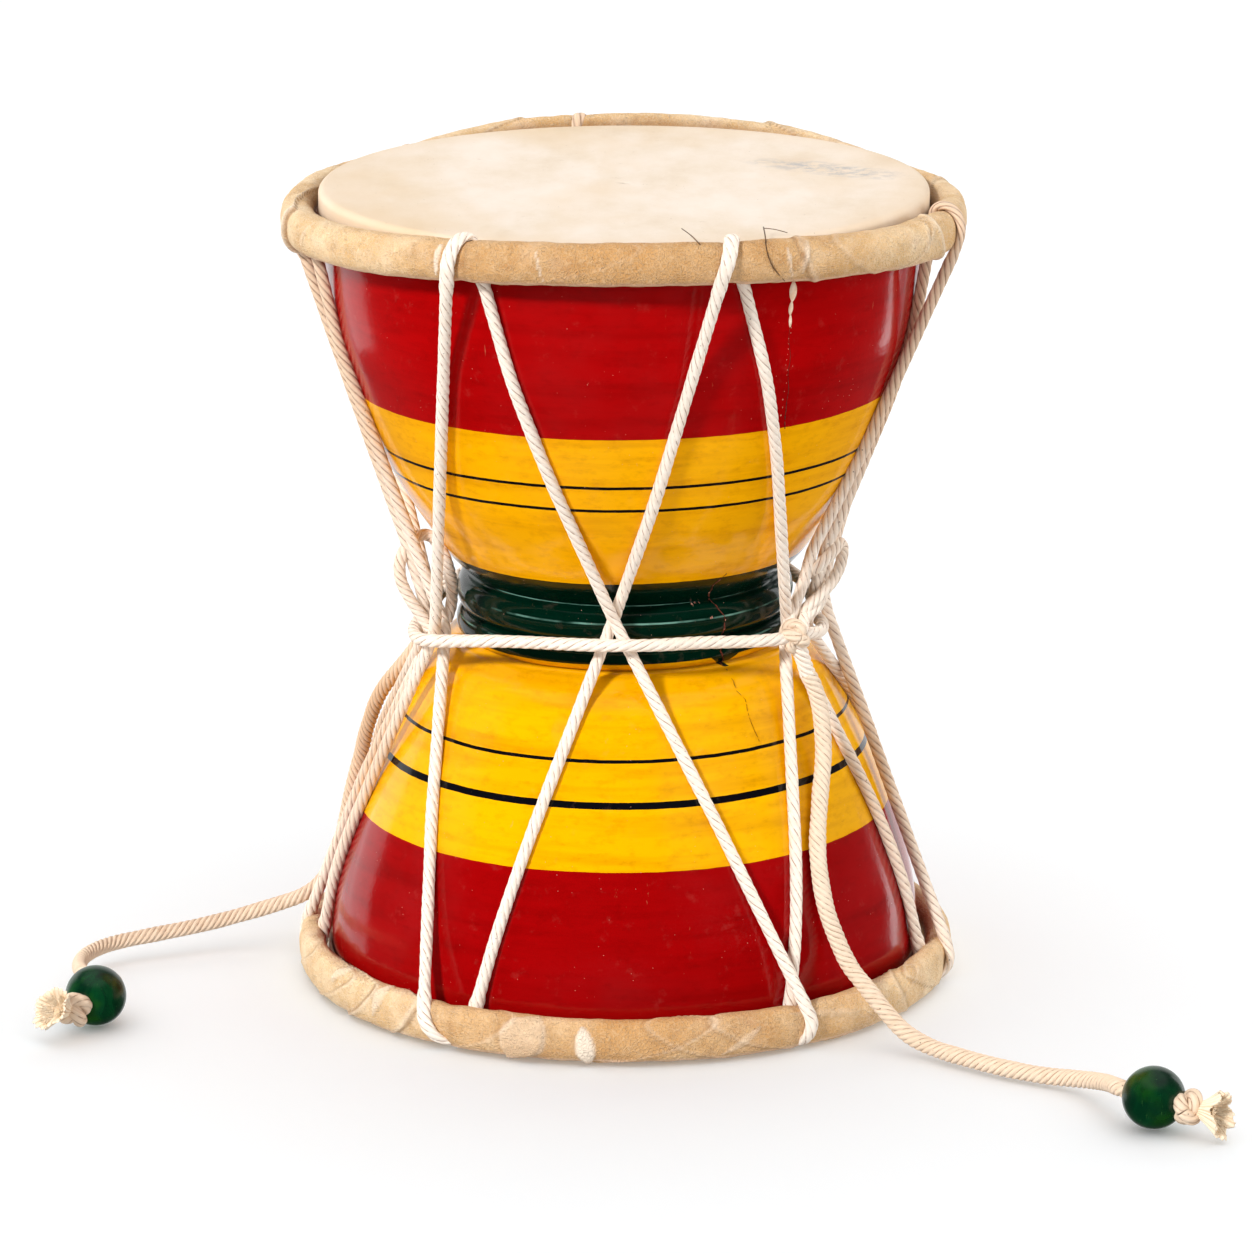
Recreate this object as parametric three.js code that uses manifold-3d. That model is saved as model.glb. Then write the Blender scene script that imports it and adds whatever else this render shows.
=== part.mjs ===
// Damaru: a two-headed hourglass drum of turned and painted wood.
// Millimetres, +Z up. The origin is the centre of the flat underside of the lower
// skin, the front of the drum faces -Y, and every bearing is measured from the
// front towards +X.
import * as THREE from 'three';
import { mergeVertices } from 'three/addons/utils/BufferGeometryUtils.js';
import Module from 'manifold-3d';

const GAP = 0.3;                       // clearance between pieces that touch
const AROUND = 36;                     // facets around a turned piece
const DRUM_HEIGHT = 198;               // lower skin's underside to upper skin's top

// Shell: [radius, height] down the outside of each bowl, and down the bore.
const UPPER_BOWL = [[73.0, 184], [70.8, 166], [66.6, 152], [61.5, 138], [55.8, 126], [49.4, 116],
  [45.0, 109.2], [40.9, 104.7], [37.6, 101.9]];
const LOWER_BOWL = [[43.2, 85.8], [49.6, 80], [56.5, 66], [62.6, 52], [67.6, 38], [71.4, 24], [73.0, 12]];
const BORE = [[66.0, 12], [60.6, 38], [49.0, 66], [27.0, 92], [27.0, 106], [48.5, 126], [59.6, 152],
  [66.0, 184]];
const WAIST_RINGS = [{ low: 92.9, high: 101.9, inner: 37.8, outer: 41.3 },
  { low: 86.2, high: 92.9, inner: 38.2, outer: 41.5 }];
const RIM_OUTER = 73.0;
const RIM_INNER = 67.0;
const RIM_CHAMFER = 1.0;

// Skins: a thin head with a short skirt that goes down between shell and hoop.
const SKIN_THICK = 0.8;
const SKIN_RADIUS = 74.0;
const SKIN_ROUND = 1.4;
const SKIRT_DEPTH = 6.5;

// Hoops: a ring of oval section; the upper one dips where the cords pull it down.
const UPPER_HOOP = {
  ring: 79.0, halfWidth: 4.0, halfHeight: 5.0, z: 192.6, wave: 2.27, dips: [123, 227], dipDepth: 2.0, dipWidth: 18,
};
const LOWER_HOOP = {
  ring: 78.1, halfWidth: 3.2, halfHeight: 5.2, z: 5.7, wave: 0, dips: [], dipDepth: 0, dipWidth: 18,
};
const HOOP_SEGMENTS = 36;
const HOOP_SIDES = 8;

// Lacing: one cord laced over both hoops in seven loops. Each loop has an inner
// foot, between hoop and shell, and an outer foot. Bearings in degrees.
const CORD = 3.2;
const CORD_SIDES = 6;
const STRAND_LIFT = 0.7;                // room for the straight runs between a strand's bends
const STRAIGHT = THREE.MathUtils.degToRad(1.6);
const TOP_LOOPS = [{ inner: -26.8, outer: -29.5 }, { inner: 20.2, outer: 15.8 }, { inner: 77, outer: 73.5 },
  { inner: 130, outer: 126 }, { inner: 190, outer: 186 }, { inner: 225, outer: 221 }, { inner: -76, outer: -80.5 }];
const BOTTOM_LOOPS = [{ inner: -29.3, outer: -36.4 }, { inner: 31.0, outer: 33.2 }, { inner: 75.0, outer: 79.0 },
  { inner: 130, outer: 126 }, { inner: 186, outer: 182 }, { inner: 229, outer: 225 }, { inner: -74, outer: -80 }];
const TUCKED_LOOP = 6;                 // the top loop that is held under the hoop's own hide
// Where each strand crosses the waist, [x, y, z]: "falls" runs from a top loop to the
// next bottom loop, and "rises" from a bottom loop to the next top loop.
const FALLS = [[-2.4, -46.4, 100.5], [39.4, -26.4, 92.5], [44.2, -19.4, 92], [18.5, 43.2, 92],
  [-19.7, 42.3, 92], [-45.6, -15.6, 92], [-43.6, -22.4, 92.5]];
const RISES = [[-2.4, -42.9, 100.9], [38.6, -30.8, 93], [49.0, -8.0, 92], [17.2, 39.6, 94],
  [-18.0, 38.9, 94], [-47.7, -20.0, 92], [-46.0, -26.4, 92.5]];

// Waist cord: a loop that gathers the lacing into a bundle at each side.
const WAIST_LOOP = [[43.2, -36.4, 93.2], [38.0, -38.8, 93.8], [30, -42.0, 94.4], [18, -47.0, 95.0], [8, -51.2, 95.4],
  [0.5, -52.3, 95.5], [-7, -50.6, 95.0], [-16, -46.6, 94.2], [-28, -41.0, 93.0], [-38, -35.8, 91.6], [-45.8, -31.8, 90.4],
  [-50.6, -27.4, 89.9], [-52.3, -20.6, 90.1], [-51.9, -13.8, 90.7], [-48.4, -3, 92], [-42.5, 15, 94.4],
  [-34, 34.4, 95.8], [-22.8, 47.8, 96.2], [-11, 49.4, 96.4], [0, 49.4, 96.4], [11, 49.4, 96.4], [21.4, 48.2, 96.2],
  [33, 38.4, 95.8], [43, 20, 94.6], [50.0, 4, 93], [53.0, -6, 92.2], [52.4, -13, 92], [51.0, -19.8, 92],
  [49.4, -25.6, 92.2]];

// Free cord ends: from the waist down over the lower hoop and out to a bead. Each one
// also runs on through its bead, up to the end knot.
const TAIL = 4.2;
const TAIL_SIDES = 8;
const RIGHT_TAIL = [[44.0, -35.8, 84.8], [45.8, -35.4, 81.0], [47.4, -35.8, 74.6], [48.0, -38.2, 65.0], [47.0, -43.8, 54.8],
  [46.4, -50.0, 44.2], [48.0, -54.0, 32.6], [51.2, -55.6, 23.2], [54.2, -57.8, 17.4], [57.8, -61.4, 13.6],
  [62.2, -66.2, 9.2], [67.2, -70.6, 5.0], [73.2, -75.2, 2.9], [80.4, -81.4, 2.5], [89.0, -88.2, 2.4],
  [97.9, -93.6, 2.4], [104.6, -97.6, 3.0], [109.6, -103.2, 4.4], [112.8, -110.8, 6.4]];
const LEFT_TAIL = [[-47.4, 8.6, 85.4], [-53.5, 11.6, 76.0], [-60.6, 15.6, 66.0], [-64.3, 20.9, 56.0], [-66.7, 25.6, 46.0],
  [-69.3, 23.9, 36.0], [-71.4, 19.6, 26.6], [-73.8, 16.8, 20.4], [-77.0, 14.8, 15.6], [-81.2, 13.8, 12.8], [-87.0, 14.4, 10.4],
  [-97.0, 13.4, 7.6], [-107.0, 9.4, 6.2], [-118.2, 4.4, 5.4], [-126.4, 0.4, 4.9], [-131.2, -5.0, 5.0],
  [-134.2, -12.4, 5.3], [-134.8, -21.2, 5.9], [-133.2, -29.4, 6.8], [-129.0, -35.8, 7.6]];

// Beads: wooden balls with a bore, each stopped by a knot in the cord's end.
const BEAD = 7.4;
const BEAD_BORE = 2.6;
const LEFT_BEAD = { centre: [-128.5, -48.8, BEAD], towardsKnot: [-0.52, -0.85, -0.10] };
const RIGHT_BEAD = { centre: [122.3, -123.5, BEAD], towardsKnot: [0.86, -0.49, -0.10] };
const KNOT = { length: 8.2, radius: 4.3, brush: 7.4, brushRadius: 4.6, neck: 2.0 };
const WAIST_KNOT = { centre: [43.6, -36.4, 88.6], across: 5.4, tall: 3.2 };

const paint = (name, colour, roughness) => new THREE.MeshStandardMaterial({ name, color: colour, roughness,
  metalness: 0 });
const lacquer = paint('lacquer', 0xb01018, 0.15);
const parchment = paint('parchment', 0xf3e6cc, 0.7);
const hide = paint('hide', 0xd8b98a, 0.75);
const cotton = paint('cotton', 0xeadbc4, 0.95);
const stainedWood = paint('stained_wood', 0x0f5a30, 0.3);

const object = new THREE.Group();

function addPiece(name, geometry, material) {
  const piece = new THREE.Mesh(geometry, material);
  piece.name = name;
  object.add(piece);
  return piece;
}

function atBearing(degrees, radius, z) {
  const angle = THREE.MathUtils.degToRad(degrees);
  return new THREE.Vector3(radius * Math.sin(angle), -radius * Math.cos(angle), z);
}

const bearingOf = (point) => THREE.MathUtils.radToDeg(Math.atan2(point.x, -point.y));

const wasm = await Module();
wasm.setup();

function toSolid(geometry) {
  const bare = geometry.clone();
  bare.deleteAttribute('normal');
  bare.deleteAttribute('uv');
  const merged = mergeVertices(bare, 1e-3);
  return new wasm.Manifold(new wasm.Mesh({
    numProp: 3,
    vertProperties: new Float32Array(merged.attributes.position.array),
    triVerts: new Uint32Array(merged.index.array),
  }));
}

function fromSolid(solid) {
  const mesh = solid.getMesh();
  const geometry = new THREE.BufferGeometry();
  geometry.setAttribute('position', new THREE.BufferAttribute(new Float32Array(mesh.vertProperties), 3));
  geometry.setIndex(new THREE.BufferAttribute(new Uint32Array(mesh.triVerts), 1));
  return geometry;
}

// ---- Turned pieces: a closed [radius, height] outline spun about Z. ----

function turned(outline, around = AROUND) {
  const points = outline.map(([radius, height]) => new THREE.Vector2(radius, height));
  const geometry = new THREE.LatheGeometry(points, around);
  geometry.rotateX(Math.PI / 2);
  return geometry;
}

function ringMoulding({ low, high, inner, outer }, steps = 4) {
  const points = [];
  for (let i = 0; i <= steps; i += 1) {
    const angle = Math.PI * (0.5 - i / steps);
    points.push([inner + (outer - inner) * Math.cos(angle), (low + high) / 2 + (high - low) / 2 * Math.sin(angle)]);
  }
  return points;
}

function shellOutline() {
  const top = DRUM_HEIGHT - SKIN_THICK - GAP;
  const bottom = SKIN_THICK + GAP;
  const rings = WAIST_RINGS.flatMap((ring) => ringMoulding(ring).slice(1));
  return [[RIM_INNER, top], [RIM_OUTER - RIM_CHAMFER, top], [RIM_OUTER, top - RIM_CHAMFER], ...UPPER_BOWL, ...rings,
    ...LOWER_BOWL, [RIM_OUTER, bottom + RIM_CHAMFER], [RIM_OUTER - RIM_CHAMFER, bottom], [RIM_INNER, bottom],
    ...BORE, [RIM_INNER, top]];
}

// Radius of the shell's outside at a height, for laying cords on it.
function shellRadius(z) {
  const profile = shellOutline().slice(1, -BORE.length - 2);
  for (let i = 1; i < profile.length; i += 1) {
    const [outerA, zA] = profile[i - 1];
    const [outerB, zB] = profile[i];
    if (z <= zA && z >= zB && zA > zB) return THREE.MathUtils.mapLinear(z, zB, zA, outerB, outerA);
  }
  return RIM_OUTER;
}

function skinOutline() {
  const inner = RIM_OUTER + GAP;
  const crown = SKIN_THICK;
  return [[0, 0], [SKIN_RADIUS - SKIN_ROUND, 0], [SKIN_RADIUS, -SKIN_ROUND], [SKIN_RADIUS, -SKIRT_DEPTH],
    [inner, -SKIRT_DEPTH], [inner, -crown - RIM_CHAMFER - 0.12], [inner - RIM_CHAMFER - 0.12, -crown],
    [0, -crown]];
}

function skin(upper) {
  const outline = skinOutline();
  if (upper) return turned(outline.map(([r, z]) => [r, z + DRUM_HEIGHT]).reverse());
  return turned(outline.map(([r, z]) => [r, -z]));
}

// ---- Cords: a section swept along a route, with one ring of vertices at each point. ----

class Route extends THREE.Curve {
  constructor(points) {
    super();
    this.points = points;
  }

  getPointAt(u) {
    const place = u * (this.points.length - 1);
    const index = Math.min(Math.floor(place), this.points.length - 2);
    return this.points[index].clone().lerp(this.points[index + 1], place - index);
  }

  getPoint(t) {
    return this.getPointAt(t);
  }

  getSpacedPoints(divisions) {
    return Array.from({ length: divisions + 1 }, (_, i) => this.getPointAt(i / divisions));
  }

  getTangentAt(u) {
    const index = Math.round(u * (this.points.length - 1));
    const before = this.points[Math.max(index - 1, 0)];
    const at = this.points[index];
    const after = this.points[Math.min(index + 1, this.points.length - 1)];
    const into = at.clone().sub(before).normalize();
    const out = after.clone().sub(at).normalize();
    return into.add(out).normalize();
  }
}

function cord(points, diameter, sides) {
  const section = new THREE.Shape();
  for (let i = 0; i < sides; i += 1) {
    const angle = (2 * Math.PI * i) / sides;
    section[i ? 'lineTo' : 'moveTo'](diameter / 2 * Math.cos(angle), diameter / 2 * Math.sin(angle));
  }
  section.closePath();
  return new THREE.ExtrudeGeometry(section, {
    steps: points.length - 1, extrudePath: new Route(points), bevelEnabled: false, curveSegments: 1,
  });
}

const vectors = (list) => list.map((p) => new THREE.Vector3(...p));

// ---- Hoops and the cord wraps over them. ----

// The upper hoop rides high at the back and sinks on either side of it.
const hoopHeight = (hoop, degrees) => {
  const turn = ((degrees % 360) + 360) % 360;
  const dips = hoop.dips.reduce((sum, at) => sum + Math.exp(-(((turn - at) / hoop.dipWidth) ** 2)), 0);
  return hoop.z + hoop.wave * Math.cos(THREE.MathUtils.degToRad(2 * degrees)) - hoop.dipDepth * dips;
};

function hoopSolid(hoop) {
  const geometry = new THREE.TorusGeometry(hoop.ring, 1, HOOP_SIDES, HOOP_SEGMENTS);
  const position = geometry.attributes.position;
  const at = new THREE.Vector3();
  for (let i = 0; i < position.count; i += 1) {
    at.fromBufferAttribute(position, i);
    const radius = hoop.ring + (Math.hypot(at.x, at.y) - hoop.ring) * hoop.halfWidth;
    const bearing = bearingOf(at);
    const moved = atBearing(bearing, radius, hoopHeight(hoop, bearing) + at.z * hoop.halfHeight);
    position.setXYZ(i, moved.x, moved.y, moved.z);
  }
  return geometry;
}

// The cord's centreline around a hoop's section, from the inner foot over to the outer one.
// up is +1 over the top of the upper hoop and -1 under the bottom of the lower hoop.
function wrap(hoop, loop, up) {
  const sink = { inner: 1.0, far: up > 0 ? -0.7 : 1.15, outer: -0.7 };
  const turns = [178, 135, 90, 45, 0, -28];
  return turns.map((turn, i) => {
    const angle = THREE.MathUtils.degToRad(turn);
    const bearing = THREE.MathUtils.lerp(loop.inner, loop.outer, i / (turns.length - 1));
    const wide = hoop.halfWidth - (turn > 90 ? THREE.MathUtils.mapLinear(turn, 90, 178, sink.far, sink.inner)
      : THREE.MathUtils.mapLinear(Math.max(turn, 0), 90, 0, sink.far, sink.outer));
    const tall = hoop.halfHeight - sink.far;
    const z = hoopHeight(hoop, bearing) + up * tall * Math.sin(angle);
    return atBearing(bearing, hoop.ring + wide * Math.cos(angle), z);
  });
}

// The loop that turns back under the hoop's hide, so that nothing shows above the hoop.
function tuckedWrap(hoop, loop) {
  const reach = 76.1;
  const z = hoopHeight(hoop, loop.inner);
  return [[0, reach, -5.6], [0.1, reach + 0.1, -2.2], [0.3, reach + 0.6, 0.4], [0.5, reach + 1.2, 1.3],
    [0.7, reach + 1.8, 0.4], [0.9, reach + 2.3, -2.2], [1, reach + 2.4, -5.6]].map(([share, radius, rise]) =>
    atBearing(THREE.MathUtils.lerp(loop.inner, loop.outer, share), radius, z + rise));
}

// A taut strand between two points: the shortest way that stays clear of the shell.
// Returns only the places in between where it bends.
function strand(from, to, stops = 7, passes = 400) {
  const points = Array.from({ length: stops + 2 }, (_, i) => from.clone().lerp(to, i / (stops + 1)));
  for (let pass = 0; pass < passes; pass += 1) {
    for (let i = 1; i <= stops; i += 1) {
      const at = points[i].lerpVectors(points[i - 1], points[i + 1], 0.5);
      const clear = shellRadius(at.z) + CORD / 2 + GAP + STRAND_LIFT;
      const radius = Math.hypot(at.x, at.y);
      if (radius < clear) at.multiply(new THREE.Vector3(clear / radius, clear / radius, 1));
    }
  }
  const bends = [];
  let last = from;
  for (let i = 1; i <= stops; i += 1) {
    const into = points[i].clone().sub(last);
    const out = points[i + 1].clone().sub(points[i]);
    if (into.angleTo(out) < STRAIGHT) continue;
    bends.push(points[i]);
    last = points[i];
  }
  return bends;
}

const topWraps = TOP_LOOPS.map((loop, i) => (i === TUCKED_LOOP ? tuckedWrap(UPPER_HOOP, loop)
  : wrap(UPPER_HOOP, loop, 1)));
const bottomWraps = BOTTOM_LOOPS.map((loop) => wrap(LOWER_HOOP, loop, -1));
const forwards = (points) => points;
const backwards = (points) => [...points].reverse();

// The lacing as one route. It runs down to the next loop and up to the next loop in turn;
// at the third bottom loop it goes round the hoop the other way.
function lacingRoute() {
  const count = TOP_LOOPS.length;
  const route = [];
  let index = 5;
  for (let pair = 0; pair < count; pair += 1) {
    const top = backwards(topWraps[index]);
    const next = (index + 1) % count;
    const bottom = (next === 2 ? forwards : backwards)(bottomWraps[next]);
    const after = (next + 1) % count;
    const fall = new THREE.Vector3(...FALLS[index]);
    const rise = new THREE.Vector3(...RISES[next]);
    const nextTop = backwards(topWraps[after]);
    route.push(...top, ...strand(top.at(-1), fall), fall, ...strand(fall, bottom[0]), ...bottom,
      ...strand(bottom.at(-1), rise), rise, ...strand(rise, nextTop[0]));
    index = after;
  }
  const start = route[0];
  const away = route.at(-1).clone().sub(start).setLength(2 * GAP);
  route.push(start.clone().add(away));
  return route;
}

const lacing = lacingRoute();
const lacingSolid = cord(lacing, CORD, CORD_SIDES);
const lacingRoom = toSolid(cord(lacing, CORD + 2 * GAP, CORD_SIDES));

addPiece('shell', turned(shellOutline().reverse()), lacquer);
addPiece('upper_skin', skin(true), parchment);
addPiece('lower_skin', skin(false), parchment);
addPiece('upper_hoop', fromSolid(toSolid(hoopSolid(UPPER_HOOP)).subtract(lacingRoom)), hide);
addPiece('lower_hoop', fromSolid(toSolid(hoopSolid(LOWER_HOOP)).subtract(lacingRoom)), hide);
addPiece('lacing_cord', lacingSolid, cotton);
addPiece('waist_cord', cord(vectors(WAIST_LOOP), CORD, CORD_SIDES), cotton);

// ---- Knots, tails and beads. ----

function lump(radius, length, material, name, centre, direction) {
  const geometry = new THREE.SphereGeometry(radius, 10, 7);
  geometry.scale(1, length / (2 * radius), 1);
  const piece = addPiece(name, geometry, material);
  piece.position.set(...centre);
  piece.quaternion.setFromUnitVectors(new THREE.Vector3(0, 1, 0), new THREE.Vector3(...direction).normalize());
  return piece;
}

function beadSolid() {
  const mouth = Math.sqrt(BEAD ** 2 - BEAD_BORE ** 2);
  const half = Math.asin(BEAD_BORE / BEAD);
  const rows = 6;
  const outline = [[BEAD_BORE, -mouth]];
  for (let i = 1; i < rows; i += 1) {
    const angle = THREE.MathUtils.lerp(half, Math.PI - half, i / rows);
    outline.push([BEAD * Math.sin(angle), -BEAD * Math.cos(angle)]);
  }
  outline.push([BEAD_BORE, mouth], [BEAD_BORE, -mouth]);
  return new THREE.LatheGeometry(outline.map(([r, y]) => new THREE.Vector2(r, y)), 12);
}

function knotOutline() {
  const { length, radius, brush, brushRadius, neck } = KNOT;
  const outline = [[0, 0]];
  const rows = 4;
  for (let i = 1; i < rows; i += 1) {
    const angle = (Math.PI * i) / rows;
    outline.push([radius * Math.sin(angle), length / 2 * (1 - Math.cos(angle))]);
  }
  outline.push([neck, length], [brushRadius, length + brush], [0, length + brush]);
  return outline.map(([r, y]) => new THREE.Vector2(r, y));
}

// The tail's whole route: the listed points, then straight through the bead's bore.
function tailRoute(points, { centre, towardsKnot }) {
  const direction = new THREE.Vector3(...towardsKnot).normalize();
  const along = (distance) => new THREE.Vector3(...centre).addScaledVector(direction, distance);
  return [...vectors(points), along(-BEAD - 2), along(BEAD - GAP)];
}

function beadAndKnot(side, { centre, towardsKnot }) {
  const direction = new THREE.Vector3(...towardsKnot).normalize();
  const turn = new THREE.Quaternion().setFromUnitVectors(new THREE.Vector3(0, 1, 0), direction);
  const bead = addPiece(`${side}_bead`, beadSolid(), stainedWood);
  bead.position.set(...centre);
  bead.quaternion.copy(turn);
  const knot = addPiece(`${side}_end_knot`, new THREE.LatheGeometry(knotOutline(), 10), cotton);
  knot.position.set(...centre).addScaledVector(direction, BEAD);
  knot.quaternion.copy(turn);
}

addPiece('right_tail', cord(tailRoute(RIGHT_TAIL, RIGHT_BEAD), TAIL, TAIL_SIDES), cotton);
addPiece('left_tail', cord(tailRoute(LEFT_TAIL, LEFT_BEAD), TAIL, TAIL_SIDES), cotton);
beadAndKnot('right', RIGHT_BEAD);
beadAndKnot('left', LEFT_BEAD);
lump(WAIST_KNOT.tall, 2 * WAIST_KNOT.across, cotton, 'waist_knot', WAIST_KNOT.centre, [0.8, 0.6, 0]);

export default object;
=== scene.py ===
# Damaru drum: the looks. Millimetres in the functions, metres in the meshes and materials.
# Bearings are in degrees, from the front (-Y) towards +X.
import math
import random

import bpy
import numpy as np
from mathutils import Matrix, Vector, noise


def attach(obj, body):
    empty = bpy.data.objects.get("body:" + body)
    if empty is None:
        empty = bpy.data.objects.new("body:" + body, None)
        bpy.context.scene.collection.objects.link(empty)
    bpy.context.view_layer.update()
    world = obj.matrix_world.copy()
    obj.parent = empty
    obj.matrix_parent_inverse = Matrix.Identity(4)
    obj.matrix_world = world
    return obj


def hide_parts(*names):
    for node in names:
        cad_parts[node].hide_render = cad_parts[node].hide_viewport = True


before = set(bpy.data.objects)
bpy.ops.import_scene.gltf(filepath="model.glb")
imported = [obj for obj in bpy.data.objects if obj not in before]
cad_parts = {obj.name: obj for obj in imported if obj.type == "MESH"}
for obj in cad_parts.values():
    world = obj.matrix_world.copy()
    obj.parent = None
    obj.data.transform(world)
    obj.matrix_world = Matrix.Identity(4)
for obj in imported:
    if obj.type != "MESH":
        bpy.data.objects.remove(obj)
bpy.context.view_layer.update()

MM = 0.001
UP = np.array([0.0, 0.0, 1.0])
SIDEWAYS = np.array([1.0, 0.0, 0.0])

# ---- Camera ----

CAMERA_PLACE = (0.00055, -1.52446, 0.50864)  # metres
CAMERA_PITCH = 15.481  # degrees below the horizon
CAMERA_ROLL = -0.1
CAMERA_LENS = 184.06
SENSOR_WIDTH = 36


def put_in_scene(name, data):
    made = bpy.data.objects.new(name, data)
    bpy.context.scene.collection.objects.link(made)
    return made


def make_camera():
    data = bpy.data.cameras.new("camera")
    data.lens = CAMERA_LENS
    data.sensor_width = SENSOR_WIDTH
    data.clip_start = 0.05
    data.clip_end = 60
    camera = put_in_scene("camera", data)
    tilt = Matrix.Rotation(math.radians(90 - CAMERA_PITCH), 4, "X")
    roll = Matrix.Rotation(math.radians(CAMERA_ROLL), 4, "Z")
    camera.matrix_world = Matrix.Translation(CAMERA_PLACE) @ tilt @ roll
    bpy.context.scene.camera = camera


make_camera()

# ---- Measures shared with the CAD, in millimetres ----

DRUM_HEIGHT = 198
WAIST_HEIGHT = 100
SKIN_RADIUS = 74.0
RIM_RADIUS = 73.0
RIM_INNER = 67.0
SKIN_GAP = 1.1  # the shell's ends stop this far inside the skins' faces
# Down the outside of each bowl and up the bore: (height, radius).
UPPER_BOWL = [
    (184, 73.0), (166, 70.8), (152, 66.6), (138, 61.5), (126, 55.8), (116, 49.4), (109.2, 45.0),
    (104.7, 40.9), (101.9, 37.9)
]
LOWER_BOWL = [(85.8, 43.2), (80, 49.6), (66, 56.5), (52, 62.6), (38, 67.6), (24, 71.4), (12, 73.0)]
BORE = [(12, 66.0), (38, 60.6), (66, 49.0), (92, 27.0), (106, 27.0), (126, 48.5), (152, 59.6), (184, 66.0)]
WAIST_RINGS = [dict(low=92.9, high=101.9, inner=37.9, outer=41.3),
               dict(low=86.2, high=92.9, inner=38.1, outer=41.5)]
UPPER_HOOP = dict(ring=79.0, half_width=4.0, half_height=5.0, z=192.6, wave=2.27, dips=(123, 227))
LOWER_HOOP = dict(ring=78.1, half_width=3.2, half_height=5.2, z=5.7, wave=0, dips=())
DIP_DEPTH = 2.0
DIP_WIDTH = 18  # degrees

CORD = 3.0
TAIL_WIDTHS = {"left": 3.8, "right": 4.2}
# The bearings of each loop's inner foot, between hoop and shell, and of its outer foot.
TOP_LOOPS = [(-26.8, -29.5), (20.2, 15.8), (77, 73.5), (130, 126), (190, 186), (225, 221), (-76, -80.5)]
BOTTOM_LOOPS = [(-29.3, -36.4), (31.0, 33.2), (75.0, 79.0), (130, 126), (186, 182), (229, 225), (-88, -94)]
FIRST_LOOP = 5  # the top loop where the lacing begins
TUCKED_LOOP = 6  # the top loop that is held under the hoop's own hide
REVERSED_LOOP = 2  # the bottom loop where the cord comes to the inner foot first
# Where each strand crosses the waist: falls run down from a top loop, rises run up to the next one.
FALLS = [
    (-2.4, -46.4, 100.5), (39.4, -26.4, 92.5), (44.2, -19.4, 92), (18.5, 43.2, 92), (-19.7, 42.3, 92),
    (-45.6, -15.6, 92), (-43.6, -22.4, 92.5)
]
RISES = [
    (-2.4, -42.9, 100.9), (38.6, -30.8, 93), (49.8, -8.0, 92), (17.2, 39.6, 94), (-18.0, 38.9, 94),
    (-47.7, -20.0, 92), (-46.0, -26.4, 92.5)
]
# Where the spare cord's windings pull a strand in, above the waist.
FALL_BENDS = {2: [(46.4, -22.5, 103.0), (48.8, -21.5, 112.0)]}
RISE_BENDS = {1: [(43.4, -25.5, 105.0), (45.4, -24.8, 112.5)],
              2: [(48.6, -11.0, 98.0), (49.6, -10.6, 106.0)],
              5: [(-49.6, -19.6, 102.0), (-53.4, -18.6, 114.4)]}
WAIST_LOOP = [
    (41.0, -38.0, 94.6), (37.0, -39.6, 94.3), (30, -42.0, 94.4), (18, -47.0, 95.5), (8, -51.2, 96.1),
    (0.5, -52.3, 96.3), (-7, -50.6, 95.9), (-16, -46.6, 95.2), (-28, -41.0, 94.2), (-38, -35.8, 92.9),
    (-45.8, -31.8, 91.8), (-50.0, -27.4, 91.2), (-51.2, -20.6, 91.2), (-50.8, -13.8, 91.4),
    (-48.4, -3, 92.3), (-42.5, 15, 94.4), (-34, 34.4, 95.8), (-22.8, 47.4, 96.2), (-11, 48.8, 96.4),
    (0, 48.8, 96.4), (11, 48.8, 96.4), (21.4, 47.8, 96.2), (33, 38.4, 95.8), (42, 20, 94.8),
    (45.6, 6, 93.8), (46.2, -4, 93.2), (46.4, -11, 92.6), (48.0, -17.0, 92.2), (47.8, -23.4, 92.2),
    (45.6, -29.4, 93.0), (42.6, -34.6, 94.2)
]
LOOSE_LOOP = [
    (-46.8, -24.6, 92.4), (-49.8, -23.4, 96.4), (-52.2, -22.6, 100.0), (-54.2, -21.6, 104.0),
    (-54.6, -20.4, 108.0), (-53.2, -18.6, 111.4), (-50.4, -15.8, 113.8), (-47.0, -15.4, 113.6),
    (-44.4, -17.2, 110.4), (-43.0, -16.6, 106.6), (-42.2, -13.2, 101.0), (-42.4, -11.4, 95.6),
    (-43.6, -12.0, 91.4)
]
SPARE_WINDING = [
    (43.0, -33.2, 93.6), (43.6, -28.6, 96.6), (46.6, -25.4, 98.6), (48.2, -21.4, 101.2),
    (47.0, -18.6, 104.0), (45.4, -22.2, 106.4), (47.0, -25.6, 108.8), (50.2, -23.0, 111.4),
    (52.0, -19.8, 113.0), (53.0, -18.6, 111.2), (52.4, -20.0, 107.6), (50.6, -22.4, 104.4),
    (47.6, -25.2, 101.6), (44.0, -27.4, 98.6), (42.8, -26.8, 96.0)
]
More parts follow.
